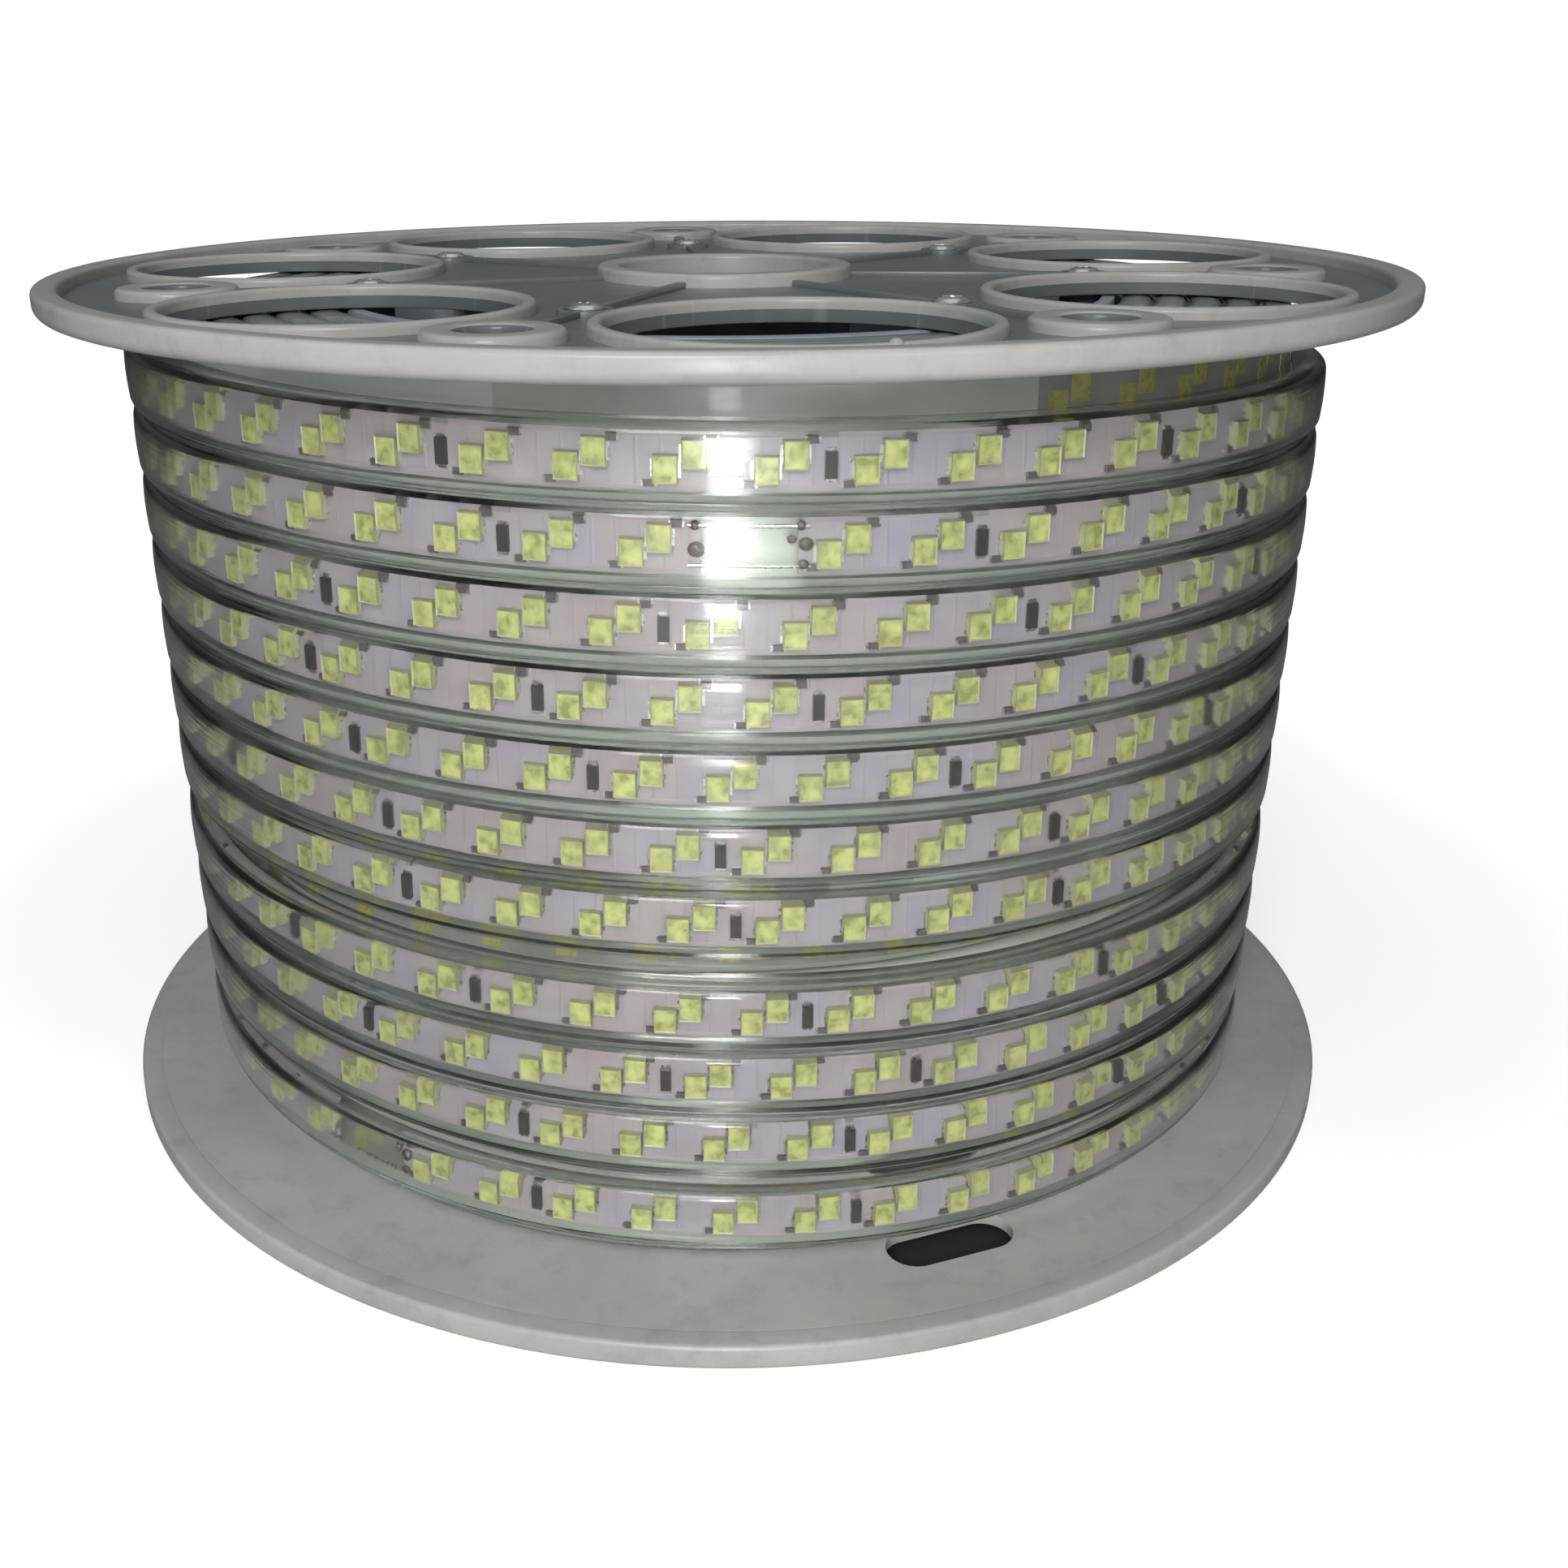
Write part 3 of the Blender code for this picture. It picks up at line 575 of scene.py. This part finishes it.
def buildUpperFlange():
    low = reel["highFace"]
    top = low + reel["depth"]
    web = low + reel["web"]
    beadInner = reel["flangeRadius"] - reel["bead"]
    plate = bmesh.new()
    edges = addWebEdges(plate, low)
    into = reel["webInto"]
    for angle in patternAngles():
        edges += addCircleLoop(plate, around(openings["circle"], angle), openings["outer"] - into,
                               fineness["opening"], low)
    for angle in patternAngles(0.5):
        edges += addCircleLoop(plate, around(openings["eyeCircle"], angle),
                               openings["eyeOuter"] - into, fineness["eye"], low)
        edges += addCircleLoop(plate, around(barrel["columnCircle"], angle), screwSeat["hole"],
                               fineness["hole"], low)
    fillPlate(plate, edges, reel["web"])
    bm = bmesh.new()
    # The web takes the painted-shade plastic.
    addPart(bm, plate, 1)
    spinRing(bm, roundedOutline(beadInner, reel["flangeRadius"], low, top, reel["beadWebRound"],
                                reel["beadRound"], 6, reel["beadUnderRound"]), fineness["rim"])
    spinRing(bm, roundedOutline(reel["bore"], reel["hub"], low - reel["collar"], top,
                                reel["collarRound"], reel["hubRound"]), fineness["hub"])
    rimTop = top - openings["rimDrop"]
    for angle in patternAngles():
        addRaisedRim(bm, around(openings["circle"], angle), openings["outer"] - openings["rim"],
                     openings["outer"], rimTop, openings["rimRound"], fineness["opening"], web)
    for angle in patternAngles(0.5):
        addRaisedRim(bm, around(openings["eyeCircle"], angle), openings["eye"],
                     openings["eyeOuter"], rimTop, openings["eyeRound"], fineness["eye"], rimTop)
        addScrewSeat(bm, angle, web, top - rib["drop"])
        addRib(bm, angle, web, top - rib["drop"], openings["eyeCircle"] - openings["eyeOuter"])
    spot = (around(openings["circle"], openings["first"])
            + around(mouldPoint["away"], mouldPoint["angle"], rimTop - mouldPoint["sunk"]))
    bmesh.ops.create_uvsphere(bm, u_segments=16, v_segments=10, radius=mouldPoint["radius"],
                              matrix=Matrix.Translation(spot))
    piece = addPiece("upperFlangeMoulding", bm, [flangePlastic, paintedShadePlastic])
    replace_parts(piece, "upper_flange")
    print("upper flange built")


# A rim round an opening of the upper flange. Its inner wall has painted shade, the web's darker
# plastic, up to the given height.
def addRaisedRim(bm, centre, inner, outer, rimTop, rounding, steps, paintedShadeTop):
    low = reel["highFace"]
    outline = roundedOutline(inner, outer, low, rimTop, openings["footRound"], rounding, 4)
    spinRing(bm, outline + [(inner, low + reel["web"])], steps, centre,
             paintedShadeUnder=(inner + openings["paintedShadeWall"], paintedShadeTop))


# The round seat that a screw sinks into, standing on the web.
def addScrewSeat(bm, angle, web, high):
    low, top = min(web, high) - screwSeat["into"], max(web, high)
    spinRing(bm, roundedOutline(screwSeat["inner"], screwSeat["outer"], low, top, 0.0,
                                screwSeat["round"], 2), fineness["seat"],
             around(barrel["columnCircle"], angle), material=1)


# A rib in two lengths, one each side of the screw's seat.
def addRib(bm, angle, web, high, outer):
    low, top = min(web, high) - rib["into"], max(web, high)
    seatStart = barrel["columnCircle"] - barrel["columnRadius"]
    seatEnd = barrel["columnCircle"] + barrel["columnRadius"]
    for start, end in ((reel["hub"] - rib["intoHub"], seatStart), (seatEnd, outer + rib["into"])):
        addBlock(bm, (0.0, -(start + end) / 2, (low + top) / 2),
                 (rib["wide"], end - start, top - low), angle, rib["round"], material=1)


def buildLowerFlange():
    face = reel["lowFace"]
    web = face - reel["web"]
    beadInner = reel["flangeRadius"] - reel["bead"]
    plate = bmesh.new()
    edges = addWebEdges(plate, web)
    for angle in patternAngles(0.5):
        edges += addCircleLoop(plate, around(barrel["columnCircle"], angle), screwSeat["hole"],
                               fineness["hole"], web)
    slotEdges = addCircleLoop(plate, (0, 0), slot["width"] / 2, fineness["slot"], web)
    verts = once(vert for edge in slotEdges for vert in edge.verts)
    half = (slot["length"] - slot["width"]) / 2
    for vert in verts:
        vert.co.x += math.copysign(half, vert.co.x)
        vert.co.y -= slot["circle"]
    bmesh.ops.rotate(plate, verts=verts, matrix=Matrix.Rotation(slot["angle"], 3, "Z"))
    fillPlate(plate, edges + slotEdges, reel["web"])
    bm = bmesh.new()
    addPart(bm, plate, 0)
    spinRing(bm, roundedOutline(beadInner, reel["flangeRadius"], 0.0, face, reel["beadRound"],
                                reel["beadFaceRound"], 5), fineness["rim"])
    spinRing(bm, roundedOutline(reel["bore"], reel["hub"], 0.0, face + reel["collar"],
                                reel["hubRound"], reel["collarRound"]), fineness["hub"])
    for angle in patternAngles(0.5):
        addScrewSeat(bm, angle, web, rib["drop"])
        addRib(bm, angle, web, rib["drop"], beadInner)
    piece = addPiece("lowerFlangeMoulding", bm, [flangePlastic, paintedShadePlastic])
    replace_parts(piece, "lower_flange")
    print("lower flange built")


def buildBarrel():
    low = reel["lowFace"] + reel["seatGap"]
    high = reel["highFace"] - reel["seatGap"]
    bm = bmesh.new()
    spinRing(bm, roundedOutline(barrel["radius"] - barrel["wall"], barrel["radius"], low, high,
                                barrel["round"], barrel["round"], 2), fineness["barrel"])
    columnLow, columnHigh = low + barrel["columnShort"], high - barrel["columnShort"]
    for angle in patternAngles(0.5):
        spinRing(bm, roundedOutline(barrel["columnBore"], barrel["columnRadius"], columnLow,
                                    columnHigh, barrel["columnRound"], barrel["columnRound"], 2),
                 fineness["column"], around(barrel["columnCircle"], angle))
    piece = addPiece("barrelTube", bm, [barrelPlastic])
    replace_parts(piece, "barrel")
    print("barrel built")


# Crown is shares of the head's radius, each with its depth below the top
screw = {"head": 0.0036, "headHigh": 0.0019, "crown": ((1.0, 0.0010), (0.86, 0.0004), (0.62, 0.0001)),
         "shank": 0.0015, "length": 0.014, "tip": 0.0009, "tipWide": 0.5, "taper": 0.0022,
         "recessWide": 0.0009, "recessLong": 0.0036, "recessDeep": 0.0008, "recessNarrows": 0.8,
         "turn": 0.7}


# A pan head screw with a cross recess, head upwards from z = 0.
def addScrewShape(bm, matrix):
    part = bmesh.new()
    head, shank, seat = screw["head"], screw["shank"], reel["seatGap"]
    foot = seat - screw["length"]
    top = seat + screw["headHigh"]
    outline = [(0.0, foot), (shank * screw["tipWide"], foot + screw["tip"]),
               (shank, foot + screw["taper"]), (shank, seat), (head, seat)]
    outline += [(head * share, top - drop) for share, drop in screw["crown"]]
    spinRing(part, outline, fineness["screw"], closed=False)
    bmesh.ops.remove_doubles(part, verts=part.verts, dist=0.000005)
    wide, long = screw["recessWide"] / 2, screw["recessLong"] / 2
    corners = [(wide, long), (wide, wide), (long, wide), (long, -wide), (wide, -wide), (wide, -long),
               (-wide, -long), (-wide, -wide), (-long, -wide), (-long, wide), (-wide, wide),
               (-wide, long)]
    cross = [part.verts.new((x, y, top)) for x, y in corners]
    crossEdges = [part.edges.new(pair) for pair in zip(cross, cross[1:] + cross[:1])]
    ring = [edge for edge in part.edges if edge.is_boundary and edge.verts[0].co.z > top - 0.0002]
    bmesh.ops.triangle_fill(part, use_beauty=True, edges=ring + crossEdges)
    wall = bmesh.ops.extrude_edge_only(part, edges=crossEdges)["geom"]
    sunk = [item for item in wall if isinstance(item, bmesh.types.BMVert)]
    bmesh.ops.translate(part, verts=sunk, vec=(0.0, 0.0, -screw["recessDeep"]))
    bmesh.ops.scale(part, verts=sunk, vec=(screw["recessNarrows"], screw["recessNarrows"], 1.0))
    bmesh.ops.contextual_create(part, geom=[item for item in wall
                                            if isinstance(item, bmesh.types.BMEdge)
                                            and all(vert in sunk for vert in item.verts)])
    bmesh.ops.recalc_face_normals(part, faces=part.faces)
    bmesh.ops.transform(part, verts=part.verts, matrix=matrix)
    addPart(bm, part)


def buildScrews():
    for where, faceZ, flip in (("upper", reel["highFace"] + reel["web"], 0.0),
                               ("lower", reel["lowFace"] - reel["web"], math.pi)):
        bm = bmesh.new()
        for index, angle in enumerate(patternAngles(0.5)):
            spot = around(barrel["columnCircle"], angle, faceZ)
            addScrewShape(bm, Matrix.Translation(spot) @ Matrix.Rotation(flip, 4, "X")
                          @ Matrix.Rotation(screw["turn"] * index, 4, "Z"))
        piece = addPiece(f"{where}Screws", bm, [zincSteel])
        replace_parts(piece, *[f"{where}_screw_{index + 1}" for index in range(openings["count"])])
    print("screws built")


# The rope. Its pieces are shaped straight, along X and facing +Y, and then wound on.

# Turns are counted from the front, where the outer layer first crosses it at turn 0.
# At each stray turn the winding leaves a gap, which is given in metres.
rope = {"high": 0.0138, "sleeve": 0.0135, "thick": 0.0075, "outerRound": 0.0019,
        "innerRound": 0.0006, "crown": 0.0004, "layers": 6, "rollRadius": 0.1336, "taper": 0.0033,
        "wrapRadius": 0.1300, "pitch": 0.0141, "fromFlange": 0.0006, "lead": 0.525, "rise": 0.14,
        "strays": ((6.5, 0.0051), (9.5, 0.0030)), "strayTurns": 0.4, "lastTurn": 10 + 5 / 12,
        "perTurn": 120}
channel = {"back": -0.00115, "front": 0.00175, "high": 0.0102, "endWall": 0.002}
ropeTop = reel["highFace"] - rope["fromFlange"] - rope["high"] / 2
ropeBottom = reel["lowFace"] + rope["fromFlange"] + rope["high"] / 2
turnLength = 2 * math.pi * rope["wrapRadius"]
firstTurn = -rope["lead"]


def smoothStep(share):
    share = min(max(share, 0.0), 1.0)
    return share * share * (3.0 - 2.0 * share)


def outerHeight(turn):
    strays = sum(gap * smoothStep((turn - at) / rope["strayTurns"] + 0.5)
                 for at, gap in rope["strays"])
    return max(ropeTop - rope["pitch"] * max(turn - firstTurn, 0.0) - strays, ropeBottom)


def layerRadius(z):
    span = reel["highFace"] - reel["lowFace"]
    return rope["rollRadius"] - rope["taper"] * (reel["highFace"] - z) / span


def onOuterLayer(co):
    turn = co.x / turnLength
    z = outerHeight(turn)
    sunk = rope["thick"] * (1.0 - smoothStep((turn - firstTurn) / rope["rise"]))
    radius = layerRadius(z) - rope["thick"] / 2 - sunk + co.y
    return around(radius, turn * 2 * math.pi, z + co.z)


# The layer beneath, wound up to the flange, where its last half turn lies level.
def onSecondLayer(co):
    turn = co.x / turnLength
    z = max(ropeTop - rope["pitch"] * max(-1.0 - turn, 0.0), ropeBottom)
    radius = layerRadius(z) - rope["thick"] - beneath["gap"] + co.y
    return around(radius, turn * 2 * math.pi, z + co.z)


def windOn(bm, where):
    for vert in bm.verts:
        vert.co = where(vert.co)


# Lays a small shape down at each place along the straight rope.
def layAlong(bm, part, places):
    mesh = bpy.data.meshes.new("shape")
    part.to_mesh(mesh)
    part.free()
    for along in places:
        start = len(bm.verts)
        bm.from_mesh(mesh)
        bm.verts.ensure_lookup_table()
        for vert in bm.verts[start:]:
            vert.co.x += along
    bpy.data.meshes.remove(mesh)


# An outline of (out, up) points carried along the straight rope and closed at its ends.
def carryAlong(outline, first, last):
    steps = max(int(round((last - first) * rope["perTurn"])), 1)
    count = len(outline)
    bm = bmesh.new()
    bmesh.ops.create_grid(bm, x_segments=steps, y_segments=count, size=0.5)
    for vert in bm.verts:
        along = (first + (last - first) * (vert.co.x + 0.5)) * turnLength
        out, up = outline[int(round((vert.co.y + 0.5) * count)) % count]
        vert.co = (along, out, up)
    bmesh.ops.remove_doubles(bm, verts=bm.verts, dist=0.000001)
    bmesh.ops.holes_fill(bm, edges=[edge for edge in bm.edges if edge.is_boundary], sides=0)
    return bm


# The sleeve's section: nearly square at the back, rounded and slightly crowned in front.
def sleeveOutline():
    back, front, half = -rope["thick"] / 2, rope["thick"] / 2, rope["sleeve"] / 2
    outline = [(back, -half + rope["innerRound"]), (back + rope["innerRound"], -half)]
    corner = [math.radians(90 * step / 5) for step in range(6)]
    size = rope["outerRound"]
    outline += [(front - size + size * math.sin(angle), -half + size - size * math.cos(angle))
                for angle in corner]
    flat = half - size
    outline += [(front, flat * (step / 3 - 1.0)) for step in range(1, 6)]
    outline += [(front - size + size * math.cos(angle), half - size + size * math.sin(angle))
                for angle in corner]
    outline += [(back + rope["innerRound"], half), (back, half - rope["innerRound"])]
    return [(out - rope["crown"] * (up / half) ** 2 if out > 0 else out, up) for out, up in outline]


def buildSleeve():
    bm = carryAlong(sleeveOutline(), firstTurn, rope["lastTurn"])
    windOn(bm, onOuterLayer)
    low, high, half = channel["back"], channel["front"], channel["high"] / 2
    inside = carryAlong([(low, -half), (high, -half), (high, half), (low, half)],
                        firstTurn + rope["rise"] / 2, rope["lastTurn"] - channel["endWall"])
    windOn(inside, onOuterLayer)
    piece = addPiece("clearSleeve", bm, [sleeveVinyl], 60, hollow=inside)
    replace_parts(piece, "rope_sleeve")
    print("sleeve built")


# Corners are shares of a layer's thickness with their drop. Set-backs are heights, top first.
innerTurns = {"gap": 0.0007, "offBarrel": 0.0010, "setBacks": ((0.0845, 0.0630), (0.0350, 0.0200)),
              "setBackDepth": 0.0025, "setBackSlope": 0.0005,
              "corners": ((0.03, 0.0012), (0.12, 0.0003), (0.30, 0.0), (0.70, 0.0), (0.88, 0.0003),
                          (0.97, 0.0012))}


# The turns beneath the outer layer, as one ring that shows the layers' edges at its ends.
# Its outer wall is set back behind the two wide gaps, where the second layer shows.
def buildInnerTurns():
    low = reel["lowFace"] + reel["seatGap"]
    high = reel["highFace"] - reel["seatGap"]
    outerLow, outerHigh = (layerRadius(z) - rope["thick"] - innerTurns["gap"] for z in (low, high))
    inner = barrel["radius"] + innerTurns["offBarrel"]
    places = [(layer + share, drop) for layer in range(rope["layers"] - 1)
              for share, drop in innerTurns["corners"]]

    def endOutline(outer, z, sign):
        width = (outer - inner) / (rope["layers"] - 1)
        return [(inner + share * width, z + sign * drop) for share, drop in places]

    outline = endOutline(outerHigh, high, -1)
    for top, bottom in innerTurns["setBacks"]:
        slope, depth = innerTurns["setBackSlope"], innerTurns["setBackDepth"]
        for z, inwards in ((top, 0.0), (top - slope, depth), (bottom + slope, depth), (bottom, 0.0)):
            outer = outerLow + (outerHigh - outerLow) * (z - low) / (high - low)
            outline.append((outer - inwards, z))
    outline += reversed(endOutline(outerLow, low, 1))
    bm = bmesh.new()
    spinRing(bm, outline, fineness["turns"])
    piece = addPiece("innerTurns", bm, [layerVinyl], 50)
    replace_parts(piece, "rope_sleeve")
    print("inner turns built")


# The starts are shares of the rise, and the ends are turns before the rope's own end
board = {"high": 0.0095, "thick": 0.0006, "middle": -0.00055, "start": 0.55, "end": 0.006,
         "lampsStart": 0.6, "lampsEnd": 0.012}
# Count of lamp pairs along the rope at each of its crossings of the front, from the top turn down
lampsAtFront = (0.44, 49.80, 99.13, 148.51, 197.93, 247.55, 297.38, 347.55, 397.20, 446.99, 496.88)
# Pairs that are missing where two boards are joined by wires, with the counts at the boards' ends
joints = {50: (49.55, 50.55), 492: (491.25, 492.50)}
seenBars = (-2.5, 47.5, 52.5, 94.5, 98.5, 102.5, 143.5, 146.5, 149.5, 153.5, 196.5, 200.5, 243.5,
            247.5, 251.5, 293.5, 297.5, 344.5, 348.5, 396.5, 399.5, 444.5, 448.5, 494.5, 498.5)
pairsPerTurn = 49.5  # on the lead, before the rope first crosses the front
# Sizes of the small parts are along the rope, out from the board, and up
lamp = {"size": (0.0042, 0.0013, 0.0047), "tin": (0.0051, 0.00012, 0.0047 * 0.62),
        "apart": (0.0024, 0.00125), "frame": 0.00035, "frameDrop": 0.00018,
        "chip": (0.0019, 0.00055, 0.0011), "chipTin": (0.0026, 0.00035, 0.0010),
        "chipPlace": (0.0052, 0.00355)}
bridgeBar = {"tin": (0.0017, 0.0004, 0.0056), "body": (0.0020, 0.0009, 0.0044), "up": -0.0004,
             "mark": (0.0052, 0.0001, 0.0008), "markPlace": (-0.0013, 0.0042)}


# Turn at which the rope carries this many lamp pairs.
def lampTurn(count):
    last = len(lampsAtFront) - 1
    index = sum(1 for value in lampsAtFront[1:last] if value <= count)
    start, end = lampsAtFront[index], lampsAtFront[index + 1]
    return index + (count - start) / (end - start)


def lampCounts():
    count = math.ceil(lampsAtFront[0] - pairsPerTurn
                      * (rope["lead"] - rope["rise"] * board["lampsStart"]))
    while lampTurn(count) < rope["lastTurn"] - board["lampsEnd"]:
        if count not in joints:
            yield count
        count += 1


# The bars seen at the front, and one after every fourth pair between them.
def barCounts():
    for start, end in zip(seenBars, seenBars[1:]):
        yield start
        count = start + 4
        while count < end - 2:
            yield count
            count += 4
    yield seenBars[-1]


# A small flat part on the board: its base is at out, and its size is along, out and up.
def addTile(bm, along, out, up, size, material):
    matrix = (Matrix.Translation((along, out + size[1] / 2, up)) @ Matrix.Diagonal((*size, 1.0)))
    made = bmesh.ops.create_cube(bm, size=1.0, matrix=matrix)
    faces = once(face for vert in made["verts"] for face in vert.link_faces)
    for face in faces:
        face.material_index = material
    return faces


def frontFaces(faces):
    chosen = []
    for face in faces:
        face.normal_update()
        if face.normal.y > 0.9:
            chosen.append(face)
    return chosen


# Two lamps set corner to corner across the board, with a chip beside each.
def lampPair(out, detailed=True):
    bm = bmesh.new()
    tops = []
    for side in (-1, 1):
        middle, up = side * lamp["apart"][0], side * lamp["apart"][1]
        beside, chipUp = side * lamp["chipPlace"][0], side * lamp["chipPlace"][1]
        tops.extend(frontFaces(addTile(bm, middle, out, up, lamp["size"], 0)))
        if detailed:
            addTile(bm, middle, out, up, lamp["tin"], 2)
            addTile(bm, beside, out, chipUp, lamp["chipTin"], 2)
            addTile(bm, beside, out, chipUp, lamp["chip"], 3)
    if detailed:
        bmesh.ops.inset_individual(bm, faces=tops, thickness=lamp["frame"],
                                   depth=-lamp["frameDrop"])
    for face in tops:
        face.material_index = 1
    return bm


# The circuit board in its lengths, with the tracks' UV in metres along and across it.
def buildBoards():
    gaps = [(lampTurn(start), lampTurn(end)) for start, end in joints.values()]
    starts = [firstTurn + rope["rise"] * board["start"]] + [gap[1] for gap in gaps]
    ends = [gap[0] for gap in gaps] + [rope["lastTurn"] - board["end"]]
    bm = bmesh.new()
    for start, end in zip(starts, ends):
        addBoardLength(bm, start, end, board["middle"], board["thick"])
    giveTrackUv(bm)
    windOn(bm, onOuterLayer)
    piece = addPiece("circuitBoards", bm, [boardMask], 20)
    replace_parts(piece, "circuit_strip")
    print("boards built")


def addBoardLength(bm, start, end, middle, thick):
    half = board["high"] / 2
    low, high = middle - thick / 2, middle + thick / 2
    addPart(bm, carryAlong([(low, -half), (high, -half), (high, half), (low, half)], start, end))


def giveTrackUv(bm):
    alongRope = bm.loops.layers.uv.new("alongRope")
    for face in bm.faces:
        for loop in face.loops:
            loop[alongRope].uv = (loop.vert.co.x, loop.vert.co.z)


def buildOuterLamps():
    out = board["middle"] + board["thick"] / 2
    bm = bmesh.new()
    layAlong(bm, lampPair(out), [lampTurn(count) * turnLength for count in lampCounts()])
    windOn(bm, onOuterLayer)
    piece = addPiece("lampPairs", bm, [lampBody, lampPhosphor, solderTin, chipBlack],
                     20)
    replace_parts(piece, "circuit_strip")
    bar = bmesh.new()
    addTile(bar, 0.0, out, bridgeBar["up"], bridgeBar["tin"], 1)
    addTile(bar, 0.0, out, bridgeBar["up"], bridgeBar["body"], 0)
    markAlong, markUp = bridgeBar["markPlace"]
    addTile(bar, markAlong, out, markUp, bridgeBar["mark"], 2)
    bm = bmesh.new()
    layAlong(bm, bar, [lampTurn(count) * turnLength for count in barCounts()])
    windOn(bm, onOuterLayer)
    bars = addPiece("bridgeBars", bm, [barBlack, solderTin, inkGrey], 20)
    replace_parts(bars, "circuit_strip")
    print("lamps built")


wire = {"radius": 0.00032, "up": 0.0033, "out": 0.0006, "longer": 0.004, "cuts": 9}
# Solder at the boards' ends: the end, how far along from it, how far up, and the radius
solder = (("start", -0.0006, -0.0006, 0.0014), ("start", -0.0008, 0.0033, 0.0008),
          ("end", 0.0012, 0.0004, 0.0012), ("end", -0.0012, 0.0012, 0.0008),
          ("end", 0.0008, -0.0030, 0.0009), ("end", 0.0004, 0.0034, 0.0008))


# The wires and solder that join two boards in the clear lengths of the sleeve.
def buildJoints():
    out = board["middle"] + wire["out"]
    bm = bmesh.new()
    for first, last in joints.values():
        ends = {"start": lampTurn(first) * turnLength, "end": lampTurn(last) * turnLength}
        middle = (ends["start"] + ends["end"]) / 2
        for up in (-wire["up"], wire["up"]):
            made = bmesh.ops.create_cone(bm, cap_ends=True, segments=8, radius1=wire["radius"],
                                         radius2=wire["radius"],
                                         depth=ends["end"] - ends["start"] + wire["longer"],
                                         matrix=Matrix.Translation((middle, out, up))
                                         @ Matrix.Rotation(math.pi / 2, 4, "Y"))
            long = once(edge for vert in made["verts"] for edge in vert.link_edges
                        if abs(edge.verts[0].co.x - edge.verts[1].co.x) > wire["radius"] * 3)
            bmesh.ops.subdivide_edges(bm, edges=long, cuts=wire["cuts"])
        for end, along, up, radius in solder:
            blob = bmesh.new()
            bmesh.ops.create_icosphere(blob, subdivisions=2, radius=radius,
                                       matrix=Matrix.Translation((ends[end] + along, out, up))
                                       @ Matrix.Diagonal((1.1, 0.6, 0.95, 1.0)))
            addPart(bm, blob, 1)
    windOn(bm, onOuterLayer)
    piece = addPiece("boardJoints", bm, [solderTin, fluxedSolder], 40)
    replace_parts(piece, "circuit_strip")
    print("joints built")


# The second layer. Lengths are in turns, and the board's stop short of the sleeve's.
beneath = {"gap": 0.0003, "topStart": -1.05, "topEnd": 0.004, "topBoard": (-0.93, -0.70),
           "sleeveHalf": 1.25, "boardHalf": 1.23, "boardOut": -0.0001, "boardThick": 0.0004,
           "lampOut": 0.0001, "lampFlat": 0.12, "pairsPerTurn": 49.9}


# Stretches of the layer beneath that show: under the flange, and behind two wide gaps.
def seenBeneath():
    yield beneath["topStart"], firstTurn - beneath["topEnd"], *beneath["topBoard"]
    for at, gap in rope["strays"]:
        middle = outerHeight(at - 0.5) - (rope["pitch"] + gap) / 2
        turn = -1.0 - (ropeTop - middle) / rope["pitch"]
        yield (turn - beneath["sleeveHalf"], turn + beneath["sleeveHalf"],
               turn - beneath["boardHalf"], turn + beneath["boardHalf"])


def buildSecondLayer():
    sleeve, strip, lamps = bmesh.new(), bmesh.new(), bmesh.new()
    shifted = [(out - rope["thick"] / 2, up) for out, up in sleeveOutline()]
    pair = lampPair(beneath["lampOut"], False)
    bmesh.ops.scale(pair, verts=pair.verts, vec=(1.0, beneath["lampFlat"], 1.0))
    places = []
    for start, end, stripStart, stripEnd in seenBeneath():
        addPart(sleeve, carryAlong(shifted, start, end))
        addBoardLength(strip, stripStart, stripEnd, beneath["boardOut"], beneath["boardThick"])
        density = beneath["pairsPerTurn"]
        places.extend(index / density * turnLength
                      for index in range(math.ceil(stripStart * density), int(stripEnd * density)))
    layAlong(lamps, pair, places)
    for name, bm, materials in (("secondLayerSleeve", sleeve, [secondVinylPaintedShade]),
                                ("secondLayerBoard", strip, [boardBeneathPaintedShade]),
                                ("secondLayerLamps", lamps, [lampBeneathPaintedShade, lampBeneathPaintedShade])):
        windOn(bm, onSecondLayer)
        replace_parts(addPiece(name, bm, materials, 50), "rope_sleeve")
    print("second layer built")


plugEdges = {"width": 0.0006, "segments": 3, "sharperThan": math.radians(25)}


def finishPlug():
    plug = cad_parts["end_plug"]
    plug.data.materials.clear()
    plug.data.materials.append(plugVinyl)
    bevel = plug.modifiers.new("softEdges", "BEVEL")
    bevel.width = plugEdges["width"]
    bevel.segments = plugEdges["segments"]
    bevel.limit_method = "ANGLE"
    bevel.angle_limit = plugEdges["sharperThan"]


buildCamera()
buildStudio()
buildFloor()
print("camera, light and floor built")
buildUpperFlange()
buildLowerFlange()
buildBarrel()
buildScrews()
buildSleeve()
buildInnerTurns()
buildBoards()
buildOuterLamps()
buildJoints()
buildSecondLayer()
finishPlug()
